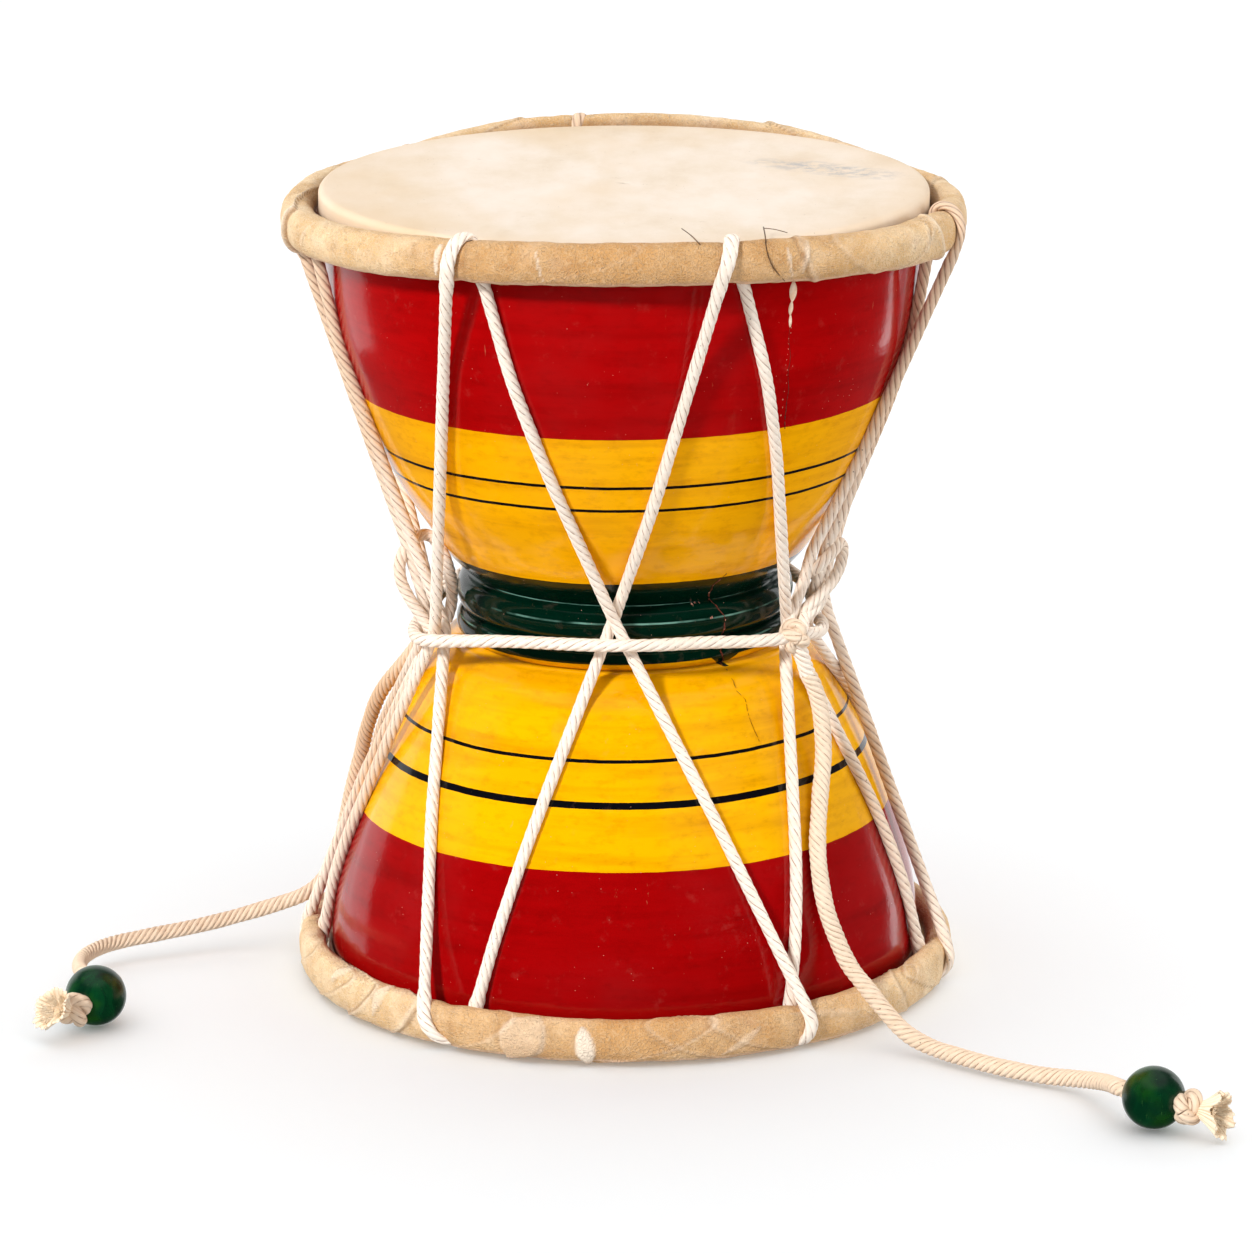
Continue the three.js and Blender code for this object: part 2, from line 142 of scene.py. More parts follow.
# From the waist down over the lower hoop and out to a bead.
RIGHT_TAIL = [
    (44.0, -35.8, 84.8), (45.8, -35.4, 81.0), (47.4, -35.8, 74.6), (48.0, -38.2, 65.0),
    (47.0, -43.8, 54.8), (46.4, -50.0, 44.2), (48.0, -54.0, 32.6), (51.2, -55.6, 23.2),
    (54.2, -57.8, 17.4), (57.8, -61.4, 13.6), (62.2, -66.2, 9.2), (67.2, -70.6, 5.0), (73.2, -75.2, 2.9),
    (80.4, -81.4, 2.5), (89.0, -88.2, 2.4), (97.9, -93.6, 2.4), (104.6, -97.6, 3.0), (109.6, -103.2, 4.4),
    (112.8, -110.8, 6.4)
]
LEFT_TAIL = [
    (-47.4, 8.6, 85.4), (-53.5, 11.6, 76.0), (-60.6, 15.6, 66.0), (-64.3, 20.9, 56.0),
    (-66.7, 25.6, 46.0), (-69.3, 23.9, 36.0), (-71.4, 19.6, 26.6), (-73.8, 16.8, 20.4),
    (-77.0, 14.8, 15.6), (-81.2, 13.8, 12.8), (-87.0, 14.4, 10.4), (-97.0, 13.4, 7.6), (-107.0, 9.4, 6.2),
    (-118.2, 4.4, 5.4), (-126.4, 0.4, 4.9), (-131.2, -5.0, 5.0), (-134.2, -12.4, 5.3),
    (-134.8, -21.2, 5.9), (-133.2, -29.4, 6.8), (-129.0, -35.8, 7.6)
]
# Where each striker cord comes up to the waist tie and passes over it.
RIGHT_ROOT = [(41.4, -37.4, 93.4), (42.8, -36.8, 89.0), (44.2, -35.8, 84.4)]
LEFT_ROOT = [(-43.4, 8.3, 96.0), (-46.4, 9.0, 96.3), (-48.6, 9.4, 93.4), (-48.4, 9.0, 89.0),
             (-47.5, 8.6, 85.0)]
BEAD = 7.4  # radius
BEAD_BORE = 2.5
BEADS = {"left": dict(centre=(-128.5, -48.8, 7.4), knot_side=(-0.52, -0.85, -0.10)),
         "right": dict(centre=(122.3, -123.5, 7.4), knot_side=(0.86, -0.49, -0.10))}
WAIST_KNOT = (40.8, -37.4, 94.4)


def at_bearing(degrees, radius, z):
    angle = np.radians(degrees)
    return np.array([radius * np.sin(angle), -radius * np.cos(angle), z])


def unit(vector):
    vector = np.array(vector, dtype=float)
    return vector / np.linalg.norm(vector)


def degrees_off(bearings, bearing):
    """How far each bearing is from one bearing, from -180 to 180."""
    return (bearings - bearing + 180) % 360 - 180


def bell(distance, width):
    return np.exp(-(distance / width) ** 2)


def any_across(axis):
    """A direction at right angles to an axis."""
    return np.cross(axis, UP if abs(axis[2]) < 0.9 else SIDEWAYS)


# ---- Meshes ----

def make_object(name, points, faces, smooth=True):
    mesh = bpy.data.meshes.new(name)
    mesh.from_pydata((np.asarray(points) * MM).tolist(), [], faces)
    mesh.validate()
    if smooth:
        mesh.shade_smooth()
    return put_in_scene(name, mesh)


def grid_faces(rows, columns, close_rows=False, close_columns=True):
    """Quads of a grid of points stored row by row."""
    faces = []
    for i in range(rows if close_rows else rows - 1):
        a = i * columns
        b = ((i + 1) % rows) * columns
        for j in range(columns if close_columns else columns - 1):
            k = (j + 1) % columns
            faces.append((a + j, a + k, b + k, b + j))
    return faces


def lathe(name, profile, around, shape=None):
    """A closed [radius, height] outline spun about Z. shape moves the points of each ring outwards."""
    bearings = np.arange(around) * 360 / around
    angle = np.radians(bearings)
    rows = []
    for radius, height in profile:
        out = radius + (shape(bearings, height) if shape else 0)
        rows.append(np.stack([out * np.sin(angle), -out * np.cos(angle), np.full(around, float(height))], 1))
    return make_object(name, np.vstack(rows), grid_faces(len(profile), around, close_rows=True))


def set_float(piece, name, values):
    """A value for each point of the mesh, which the materials read by its name."""
    attribute = piece.data.attributes.new(name, "FLOAT", "POINT")
    attribute.data.foreach_set("value", np.asarray(values, dtype=np.float32))


def ripple(points, scale, seed=0.0):
    """Smooth noise from -1 to 1 at each point; scale is the size of its lumps in millimetres."""
    shift = Vector((seed * 17.3, seed * 5.1, seed * 9.7))
    return np.array([noise.noise(Vector(p) / scale + shift) for p in points])


# ---- Cords ----

CURVE_STEP = 0.4  # millimetres between a curve's points before it is resampled
CORD_LAY = 14.5  # millimetres along the cord for each turn of its strands
KNOT_LAY = 12.0
SPARE_LAY = 10.0
STRIKER_LAY = dict(pitch=10.5, strands=6, sides=24)
PRESS_WIDER = 0.22  # a cord pressed flat widens by this share, and thins by the next
PRESS_FLATTER = 0.48


def resample(line, step):
    lengths = np.linalg.norm(np.diff(line, axis=0), axis=1)
    along = np.concatenate([[0], np.cumsum(lengths)])
    count = max(int(round(along[-1] / step)), 2)
    stops = np.linspace(0, along[-1], count + 1)
    return np.stack([np.interp(stops, along, line[:, k]) for k in range(3)], axis=1)


def spline(points, step):
    """A smooth line through the points, resampled at even steps."""
    p = np.asarray(points, dtype=float)
    padded = np.vstack([2 * p[0] - p[1], p, 2 * p[-1] - p[-2]])
    out = []
    for i in range(1, len(padded) - 2):
        a, b, c, d = padded[i - 1:i + 3]
        count = max(int(np.linalg.norm(c - b) / CURVE_STEP), 2)
        t = np.linspace(0, 1, count, endpoint=False)[:, None]
        out.append(0.5 * (2 * b + (c - a) * t + (2 * a - 5 * b + 4 * c - d) * t ** 2
                          + (3 * b - a - 3 * c + d) * t ** 3))
    out.append(p[-1:])
    return resample(np.vstack(out), step)


def soften(line, passes):
    line = line.copy()
    for _ in range(passes):
        line[1:-1] = (line[:-2] + 2 * line[1:-1] + line[2:]) / 4
    return line


def frames_along(line):
    """Two directions across the line at each point, carried along it without twist."""
    tangents = np.gradient(line, axis=0)
    tangents /= np.linalg.norm(tangents, axis=1)[:, None]
    across = any_across(tangents[0])
    first = []
    for tangent in tangents:
        across = unit(across - tangent * (across @ tangent))
        first.append(across)
    first = np.array(first)
    return first, np.cross(tangents, first)


def rope(name, line, diameter, pitch, strands=5, depth=0.09, sides=20, flatten=None, swell=0.06, seed=1):
    """A twisted cord along a line. flatten gives each point a direction and how flat it is pressed."""
    first, second = frames_along(line)
    steps = np.linalg.norm(np.diff(line, axis=0), axis=1)
    along = np.concatenate([[0], np.cumsum(steps)])
    slots = np.arange(sides) / sides
    lobe = np.abs(np.sin(np.pi * slots * strands))
    shape = 1 - depth * (1 - lobe) ** 1.2
    turn = 2 * np.pi * (slots[None, :] - along[:, None] / pitch)
    wobble = 1 + swell * ripple(np.stack([along, along * 0, along * 0], 1), pitch * 0.6, seed)
    radius = diameter / 2 * shape[None, :] * wobble[:, None]
    offsets = (radius * np.cos(turn))[:, :, None] * first[:, None, :] + (
        radius * np.sin(turn))[:, :, None] * second[:, None, :]
    if flatten is not None:
        for i, point in enumerate(line):
            direction, amount = flatten(point)
            if amount > 0.01:
                inward = offsets[i] @ direction
                offsets[i] *= 1 + PRESS_WIDER * amount
                offsets[i] -= np.outer(inward, direction) * (PRESS_FLATTER * amount)
    points = (line[:, None, :] + offsets).reshape(-1, 3)
    count = len(line)
    faces = grid_faces(count, sides)
    faces.append(tuple(range(sides))[::-1])
    faces.append(tuple((count - 1) * sides + j for j in range(sides)))
    piece = make_object(name, points, faces)
    set_float(piece, "groove", np.tile(1 - lobe, count))
    set_float(piece, "along", np.repeat(along, sides))
    set_float(piece, "around", np.tile(slots * strands % 1.0, count))
    return piece


def tail_line(points, bead):
    """A striker cord's line: its free part, and on through the bead."""
    direction = unit(bead["knot_side"])
    centre = np.array(bead["centre"])
    route = list(points) + [centre - direction * (BEAD + 0.8), centre, centre + direction * (BEAD - 0.3)]
    return spline(route, 0.5)


tails = {}
for side, points in (("right", RIGHT_TAIL), ("left", LEFT_TAIL)):
    line = tail_line(points, BEADS[side])
    cord = rope(f"{side}_striker_cord", line, TAIL_WIDTHS[side], depth=0.13, seed=3, **STRIKER_LAY)
    tails[side] = dict(line=line, piece=cord)

# ---- Lacing ----

RING_STEPS = 12
STRAND_PASSES = 900
STRAND_SINK = 0.1  # how far a strand lies into the lacquer
WRAP_SINK = 0.6  # how far a wrap lies into the hide
BACK_SINK = 2.0  # the same at the back
FOOT_SINK = 1.0  # the same between hoop and shell
UNDER_SINK = 1.05  # under the lower hoop, so that the drum stands on its skin
PRESS_REACH = 8.2  # from the hoop's middle: a cord that comes nearer is pressed flat
PRESS_FADE = 1.6


def smooth_profile(points):
    """A smooth [radius, height] line through (height, radius) pairs."""
    return [(x, z) for x, _, z in spline([(r, 0, z) for z, r in points], 1.2)]


def ring_profile(ring):
    """A waist ring's outside, top to bottom."""
    middle, half = (ring["low"] + ring["high"]) / 2, (ring["high"] - ring["low"]) / 2
    points = []
    for i in range(RING_STEPS + 1):
        angle = math.pi * (0.5 - i / RING_STEPS)
        out = (ring["outer"] - ring["inner"]) * math.cos(angle) ** 0.8
        points.append((ring["inner"] + out, middle + half * math.sin(angle)))
    return points


def shell_outside():
    """The shell's outside from top to bottom, as [radius, height]."""
    lip = [(RIM_RADIUS - 1.0, 0.0), (RIM_RADIUS - 0.3, 0.3), (RIM_RADIUS, 1.0)]
    outline = [(radius, DRUM_HEIGHT - SKIN_GAP - inside) for radius, inside in lip]
    outline += smooth_profile(UPPER_BOWL)
    for ring in WAIST_RINGS:
        outline += ring_profile(ring)[1:]
    outline += smooth_profile(LOWER_BOWL)
    return outline + [(radius, SKIN_GAP + inside) for radius, inside in lip[::-1]]


OUTSIDE = shell_outside()
OUTSIDE_Z = np.array([z for _, z in OUTSIDE])[::-1]
OUTSIDE_R = np.array([r for r, _ in OUTSIDE])[::-1]


def shell_radius(z):
    return np.interp(z, OUTSIDE_Z, OUTSIDE_R)


def hoop_height(hoop, degrees):
    """The hoop's middle height: it rides high at the front and back, and sinks where the cords pull it."""
    height = hoop["z"] + hoop["wave"] * np.cos(np.radians(2 * np.asarray(degrees, dtype=float)))
    for dip in hoop["dips"]:
        height = height - DIP_DEPTH * bell(np.mod(degrees, 360) - dip, DIP_WIDTH)
    return height


def wrap(hoop, loop, up):
    """The cord's line round a hoop's section, from the inner foot over to the outer one."""
    at_back = math.cos(math.radians(loop[0])) <= 0.08
    lift = CORD / 2 - (BACK_SINK if at_back else WRAP_SINK)
    tall = hoop["half_height"] + (lift if up > 0 else -UNDER_SINK)
    turns = np.linspace(178, -28, 14)
    points = []
    for share, turn in zip(np.linspace(0, 1, len(turns)), turns):
        angle = math.radians(turn)
        bearing = loop[0] + (loop[1] - loop[0]) * share
        inside = min(max((turn - 90) / 60, 0), 1)
        wide = hoop["half_width"] + (lift * (1 - inside) - FOOT_SINK * inside)
        points.append(at_bearing(bearing, hoop["ring"] + wide * math.cos(angle),
                                 hoop_height(hoop, bearing) + up * tall * math.sin(angle)))
    return points


def tucked_wrap(hoop, loop):
    """The loop that turns back under the hoop's hide, so that nothing shows above the hoop."""
    z = hoop_height(hoop, loop[0])
    shape = [(0, 76.1, -5.6), (0.1, 76.2, -2.2), (0.3, 76.7, 0.4), (0.5, 77.3, 1.3), (0.7, 77.9, 0.4),
             (0.9, 78.4, -2.2), (1, 78.5, -5.6)]
    wide = loop[1] - loop[0]
    return [at_bearing(loop[0] + wide * share, radius, z + rise) for share, radius, rise in shape]


def strand(start, end, stops=30):
    """A taut strand: the shortest way between two points that stays clear of the shell."""
    line = start + (end - start) * np.linspace(0, 1, stops + 2)[:, None]
    for _ in range(STRAND_PASSES):
        line[1:-1] = (line[:-2] + line[2:]) / 2
        radius = np.hypot(line[:, 0], line[:, 1])
        clear = shell_radius(line[:, 2]) + CORD / 2 - STRAND_SINK
        push = np.maximum(clear / radius, 1)
        line[1:-1, :2] *= push[1:-1, None]
    return list(line[1:-1])


def through(start, bends, end):
    """A strand's points from start to end, by way of the bends; the end itself is included."""
    points = []
    for a, b in zip([start, *bends], [*bends, end]):
        a, b = np.array(a, dtype=float), np.array(b, dtype=float)
        points += strand(a, b, stops=30 if np.linalg.norm(b - a) > 30 else 6) + [b]
    return points


def lacing_line(step):
    top = [tucked_wrap(UPPER_HOOP, loop) if i == TUCKED_LOOP else wrap(UPPER_HOOP, loop, 1)
           for i, loop in enumerate(TOP_LOOPS)]
    bottom = [wrap(LOWER_HOOP, loop, -1) for loop in BOTTOM_LOOPS]
    count = len(TOP_LOOPS)
    route = []
    index = FIRST_LOOP
    for _ in range(count):
        following = (index + 1) % count
        after = (following + 1) % count
        upper, next_upper = top[index][::-1], top[after][::-1]
        lower = bottom[following] if following == REVERSED_LOOP else bottom[following][::-1]
        fall, rise = np.array(FALLS[index]), np.array(RISES[following])
        route += upper + through(upper[-1], FALL_BENDS.get(index, [])[::-1], fall) + strand(fall, lower[0])
        route += lower + strand(lower[-1], rise) + [rise]
        route += through(rise, RISE_BENDS.get(following, []), next_upper[0])[:-1]
        index = after
    return soften(resample(np.array(route), step), 3)


def pressed_on_hoop(point):
    """How much a cord lies on a hoop at a point, and the direction that it is pressed in."""
    bearing = math.degrees(math.atan2(point[0], -point[1]))
    hoop = UPPER_HOOP if point[2] > WAIST_HEIGHT else LOWER_HOOP
    away = point - at_bearing(bearing, hoop["ring"], hoop_height(hoop, bearing))
    distance = np.linalg.norm(away)
    if distance < 0.1:
        return UP, 0.0
    return away / distance, float(np.clip((PRESS_REACH - distance) / PRESS_FADE, 0, 1))


lacing = rope("lacing", lacing_line(0.75), CORD, CORD_LAY, flatten=pressed_on_hoop)
waist_cord = rope("waist_tie", spline(WAIST_LOOP, 0.7), CORD + 0.2, CORD_LAY, seed=2)
spare_cords = [rope("left_loose_loop", spline(LOOSE_LOOP, 0.6), CORD, SPARE_LAY, seed=7),
               rope("right_spare_winding", spline(SPARE_WINDING, 0.6), CORD, SPARE_LAY, seed=8),
               rope("right_striker_root", spline(RIGHT_ROOT, 0.5), 4.0, depth=0.16, seed=9, **STRIKER_LAY),
               rope("left_striker_root", spline(LEFT_ROOT, 0.5), 3.6, depth=0.13, seed=10, **STRIKER_LAY)]


def knot(name, centre, axis, size, diameter, seed):
    """A ball of cord wound twice round the axis and three times through itself."""
    axis = unit(axis)
    side = unit(any_across(axis))
    third = np.cross(axis, side)
    t = np.linspace(0, 2 * math.pi, 90)
    ring = size * (0.62 + 0.38 * np.cos(3 * t))
    line = (np.array(centre) + np.outer(ring * np.cos(2 * t), side) + np.outer(ring * np.sin(2 * t), third)
            + np.outer(size * 0.62 * np.sin(3 * t), axis))
    return rope(name, resample(line, 0.5), diameter, KNOT_LAY, seed=seed)


waist_knot = knot("waist_tie_knot", WAIST_KNOT, (1, 0.35, 0.3), 2.9, 3.0, seed=4)

# ---- Shell ----

SHELL_AROUND = 288
# The dents at the waist: bearing, height, depth, width in degrees, and how tall.
DENTS = [(-58, 89, 0.5, 9, 3.0), (-44, 84, 0.5, 7, 3.0), (-20, 84.5, 0.35, 9, 3.0), (34, 84, 0.45, 8, 3.0),
         (14, 82, 0.3, 9, 3.5)]


def shell_shape(bearings, height):
    """Slight hand-turned unevenness and the dents at the waist."""
    out = 0.06 * np.sin(np.radians(3 * bearings + height * 2))
    out += 0.05 * np.sin(np.radians(7 * bearings - height * 5))
    for bearing, z, depth, width, tall in DENTS:
        out -= depth * bell(degrees_off(bearings, bearing), width) * bell(height - z, tall)
    return out


def shell_profile():
    bore = [(x, z) for x, _, z in spline([(r, 0, z) for z, r in BORE], 3.0)]
    return OUTSIDE + [(RIM_INNER, SKIN_GAP)] + bore + [(RIM_INNER, DRUM_HEIGHT - SKIN_GAP)]


shell = lathe("drum_shell", shell_profile()[::-1], SHELL_AROUND, shell_shape)

# ---- Cracks, chips and drops on the shell ----

# The long split down the front, as (bearing, height) from top to bottom.
UPPER_CRACK = [
    (32.5, 181), (32.4, 175), (32.8, 170), (33.1, 165), (33.7, 160), (34.4, 154.8), (35.0, 149.8)
]
WAIST_CRACK = [
    (32.4, 110.5), (31.0, 109.2), (29.4, 107.3), (30.1, 104.0), (32.7, 101.7), (33.8, 100.3),
    (35.7, 98.2), (35.8, 96.8), (36.1, 94.0), (34.0, 89.8), (36.0, 86.9), (34.6, 85.5)
]
LOWER_CRACK = [(34.5, 84.0), (33.8, 81.6), (35.4, 79.5), (35.0, 77.0), (35.6, 73.5), (36.2, 69.5)]
CRACK_STEP = 0.5
CRACK_RISE = 0.16
FLAKE_RISE = 0.2
SUNK_EDGE = -0.03  # the edges of flakes and drops lie just under the lacquer
FLAKE_CORNERS = 6


def on_shell(bearing, z, lift=0.0):
    return at_bearing(bearing, float(shell_radius(z)) + lift, z)


def degrees_wide(width, z):
    """The bearing that a width takes up on the shell at a height."""
    return math.degrees(width / float(shell_radius(z)))


def crack_line(name, marks, width, gaps, seed):
    """A jagged, broken ridge of cracked paint along (bearing, height) marks."""
    rng = random.Random(seed)
    points, faces = [], []
    for (b0, z0), (b1, z1) in zip(marks, marks[1:]):
        count = max(int(abs(z1 - z0) / CRACK_STEP), 3)
        for k in range(count):
            if rng.random() < gaps:
                continue
            half = width * rng.uniform(0.4, 1.0)
            base = len(points)
            for share in (k / count, (k + 1) / count):
                z = z0 + (z1 - z0) * share
                bearing = b0 + (b1 - b0) * share + 0.16 * math.sin(37 * z)
                turn = degrees_wide(half, z)
                points += [on_shell(bearing - turn, z, -0.02), on_shell(bearing, z, CRACK_RISE),
                           on_shell(bearing + turn, z, -0.02)]
            faces += [(base, base + 1, base + 4, base + 3), (base + 1, base + 2, base + 5, base + 4)]
    return make_object(name, points, faces, smooth=False)


def chips(name, marks, size, seed):
    """Small pale flakes scattered along (bearing, height) marks."""
    rng = random.Random(seed)
    points, faces = [], []
    for bearing, z in marks:
        middle = bearing + rng.uniform(-0.3, 0.3)
        turn = degrees_wide(size * rng.uniform(0.35, 0.8), z)
        half_tall = size * rng.uniform(0.6, 1.3)
        base = len(points)
        points.append(on_shell(middle, z, FLAKE_RISE))
        for k in range(FLAKE_CORNERS):
            angle = k * 2 * math.pi / FLAKE_CORNERS + rng.uniform(-0.3, 0.3)
            corner = (middle + turn * math.cos(angle), z + half_tall * math.sin(angle))
            points.append(on_shell(*corner, SUNK_EDGE))
            faces.append((base, base + 1 + k, base + 1 + (k + 1) % FLAKE_CORNERS))
    return make_object(name, points, faces, smooth=False)


def leaf_drop(name, top, bottom, half_wide, thick):
    """A flat drop of glue, pointed at both ends, between two (bearing, height) ends."""
    rows, columns = 14, 9
    points = []
    for share in np.linspace(0, 1, rows):
        bearing = top[0] + (bottom[0] - top[0]) * share
        z = top[1] + (bottom[1] - top[1]) * share
        full = math.sin(math.pi * min(max(share, 0.01), 0.99)) ** 0.75
        for across in np.linspace(-1, 1, columns):
            turn = degrees_wide(half_wide * full * across, z)
            swell = thick * full * math.sqrt(max(1 - across ** 2, 0))
            points.append(on_shell(bearing + turn, z, SUNK_EDGE + swell))
    return make_object(name, points, grid_faces(rows, columns, close_columns=False))


crack_pieces = [crack_line("upper_split", UPPER_CRACK, 0.26, 0.02, 3),
                crack_line("waist_split", WAIST_CRACK, 0.24, 0.1, 4),
                crack_line("lower_split", LOWER_CRACK, 0.12, 0.15, 5)]
chip_places = [(32.5, 181 - 1.3 * k) for k in range(14)]
chip_places += [(33.0 + 0.06 * k, 162 - 2.1 * k) for k in range(6)]
waist_chip_places = [(29.4, 107.3), (30.6, 108.6), (29.8, 104.8), (31.8, 102.4), (27.6, 102.0),
                     (26.4, 101.9), (24.8, 101.8), (35.8, 97.4), (36.0, 95.0), (31.0, 98.6), (30.0, 98.5)]
chip_pieces = [chips("paint_chips", chip_places, 0.4, 8), chips("waist_chips", waist_chip_places, 0.32, 9)]
drop_pieces = [leaf_drop("glue_drop", (32.8, 187.4), (32.6, 181.9), 1.15, 0.55),
               leaf_drop("glue_run", (32.5, 182.6), (32.3, 178.6), 0.7, 0.4),
               leaf_drop("glue_tail", (32.4, 179.6), (32.5, 175.4), 0.5, 0.3)]

# ---- Skins ----

SKIN_AROUND = 240
SKIN_ROUND = 1.8  # radius of the fold at the edge
SKIN_THICK = 0.8
SKIRT_DEPTH = 6.5
SKIRT_THICK = 0.7
POLE = 0.01  # where a lathed head's rings close


def skin_profile():
    """A head with its face at 0 and its skirt going down from there, as [radius, height]."""
    flat = SKIN_RADIUS - SKIN_ROUND
    skirt = SKIN_RADIUS - SKIRT_THICK
    outline = [(POLE, 0.0)]
    outline += [(r, 0.0) for r in np.linspace(2, flat, 46)]
    for angle in np.linspace(0.2, math.pi / 2, 7):
        outline.append((flat + SKIN_ROUND * math.sin(angle), -SKIN_ROUND * (1 - math.cos(angle))))
    return outline + [(SKIN_RADIUS, -4.0), (SKIN_RADIUS, -SKIRT_DEPTH), (skirt, -SKIRT_DEPTH), (skirt, -1.9),
                      (flat, -SKIN_THICK), (POLE, -SKIN_THICK)]


upper_skin = lathe("upper_head", [(r, z + DRUM_HEIGHT) for r, z in skin_profile()][::-1], SKIN_AROUND)
lower_skin = lathe("lower_head", [(r, -z) for r, z in skin_profile()], SKIN_AROUND)

# ---- Hoops ----

HOOP_AROUND = 960
HOOP_SECTION = 56
SQUARENESS = 0.85  # 1 is an oval section, lower is fuller at its corners
# Where the rolled hide overlaps: bearing at the outside, slant in degrees over the section, step (below 0
# where the hide on the left lies on top), and how far the edge runs back over the top.
UPPER_SEAMS = [
    (-77, 0, -1.5, 22), (67, -3, -1.1, -2), (31.6, -2, 0.5, 0), (27.8, 3, 0.25, 0), (42.5, -6, 0.3, 0),
    (97, 8, 0.6, 0), (-150, -12, 0.6, 0), (142, 12, -0.8, 0), (-12, 14, 0.2, 0), (56, 6, 0.35, 0)
]
LOWER_SEAMS = [
    (-55, 6, 0.8, 12), (-42, 4, -0.7, 6), (-66, 10, 0.6, 8), (58, -3, -0.5, -3), (70, -12, 0.5, 0),
    (-28, 8, 0.35, 0), (3, 12, 0.45, 0), (12, -9, 0.35, 0), (24, -10, 0.4, 0), (48, 14, 0.4, 0),
    (110, 14, 0.5, 0), (150, -14, 0.5, 0), (-110, 14, 0.5, 0), (-150, -10, 0.5, 0), (-85, 12, 0.5, 0),
    (180, 12, 0.5, 0), (128, -10, 0.4, 0), (-130, 12, 0.4, 0)
]
# Leaf-shaped flaps of hide: bearing, place on the section, half length and width, tilt, lift, paleness.
UPPER_FLAPS = [
    (-31.6, 13, 4.6, 0.8, 84, 0.12, 0.9), (-13.8, 5, 4.4, 0.35, 104, 0.1, 0.6),
    (30.6, 20, 4.8, 0.7, 76, 0.4, 0.35), (27.6, 10, 4.2, 0.5, 100, 0.25, 0.6),
    (60, 20, 4.5, 0.8, 70, 0.3, 0.2), (-66, 20, 5.0, 0.8, 50, 0.25, 0.3)
]
LOWER_FLAPS = [
    (-17.6, 6, 7.8, 5.8, 60, 0.8, 0.3), (-6.8, -12, 5.6, 2.5, 98, 0.8, 1.0),
    (36.5, 26, 11.0, 1.1, -10, 0.35, 0.2), (-60, 60, 5.0, 1.6, 60, 0.5, 0.5),
    (-47, 40, 5.5, 1.6, 70, 0.5, 0.5), (20, -10, 6.0, 1.0, 30, 0.25, 0.3)
]


class Relief:
    """What the hide's seams, flaps and cords do at each point: a push outwards, dark marks of painted shade,
    and pale marks that are partly paler hide and partly painted highlight.
    """

    def __init__(self, hoop, bearings, section, base, seed):
        self.hoop = hoop
        self.bearings = bearings
        self.section = section
        self.turned = np.degrees(np.mod(section + math.pi, 2 * math.pi) - math.pi)
        self.push = 0.22 * ripple(base, 9.0, seed) + 0.14 * ripple(base, 3.6, seed + 1)
        self.push += 0.06 * ripple(base, 1.5, seed + 2)
        self.edge = np.zeros(len(base))
        self.pale = np.zeros(len(base))

    def millimetres(self, degrees):
        return np.radians(degrees) * self.hoop["ring"]

    def seam(self, bearing, slant, height, curl):
        """The hide steps up past the bearing, with a painted shade line before the step and a painted
        highlight line on it.
        """
        over_top = np.clip((self.turned - 70) / 66, 0, 1.5)
        shifted = self.bearings - slant * np.sin(self.section + 0.6) + curl * over_top
        off = self.millimetres(degrees_off(shifted, bearing)) * (1 if height > 0 else -1)
        soft = 0.25 + (0.7 * np.clip(over_top, 0, 1) if curl else 0)
        step = 1 / (1 + np.exp(np.minimum(-off / soft, 60)))
        size = abs(height)
        self.push += size * (0.6 * step * np.exp(-np.maximum(off, 0) / 7.0) + 0.35 * bell(off - 0.9, 0.8))
        self.edge += size * 1.2 * bell(off + 0.35, soft + 0.3)
        self.pale += size * 0.6 * bell(off - 0.9, 0.7)

    def flap(self, bearing, place, half_length, half_width, tilt, lift, paleness, grain):
        """A leaf-shaped patch that is raised and pale, with a painted highlight along its raised edge and a
        painted shadow line under its edge on one side.
        """
        u = self.millimetres(degrees_off(self.bearings, bearing))
        v = np.radians(self.turned - place) * self.hoop["half_height"]
        cos, sin = math.cos(math.radians(tilt)), math.sin(math.radians(tilt))
        along, across = u * cos + v * sin, v * cos - u * sin
        width = half_width * np.maximum(1 - (along / half_length) ** 2, 0.02)
        inside = 1 - np.abs(across) / width
        near = np.abs(along) < half_length
        cover = np.clip(inside / 0.35, 0, 1) * near
        self.push += lift * cover * cover * (3 - 2 * cover) + 0.16 * lift * cover * grain
        self.pale += paleness * cover + 0.4 * lift * bell(inside - 0.14, 0.1) * near
        self.edge += 0.3 * bell(inside + 0.15, 0.2) * near * (u + v < 0.5)

    def cord(self, loop):
        """The hide is pinched where a cord passes over it, with painted shade lines on either side of the
        cord.
        """
        off = self.millimetres(degrees_off(self.bearings, (loop[0] + loop[1]) / 2))
        self.push -= 0.45 * bell(off, 2.4)
        self.edge += 0.25 * bell(np.abs(off) - 2.2, 0.6)


def rounded(values):
    """A sine or cosine that stays nearer to 1 or -1, for a section fuller than an oval."""
    return np.sign(values) * np.abs(values) ** SQUARENESS


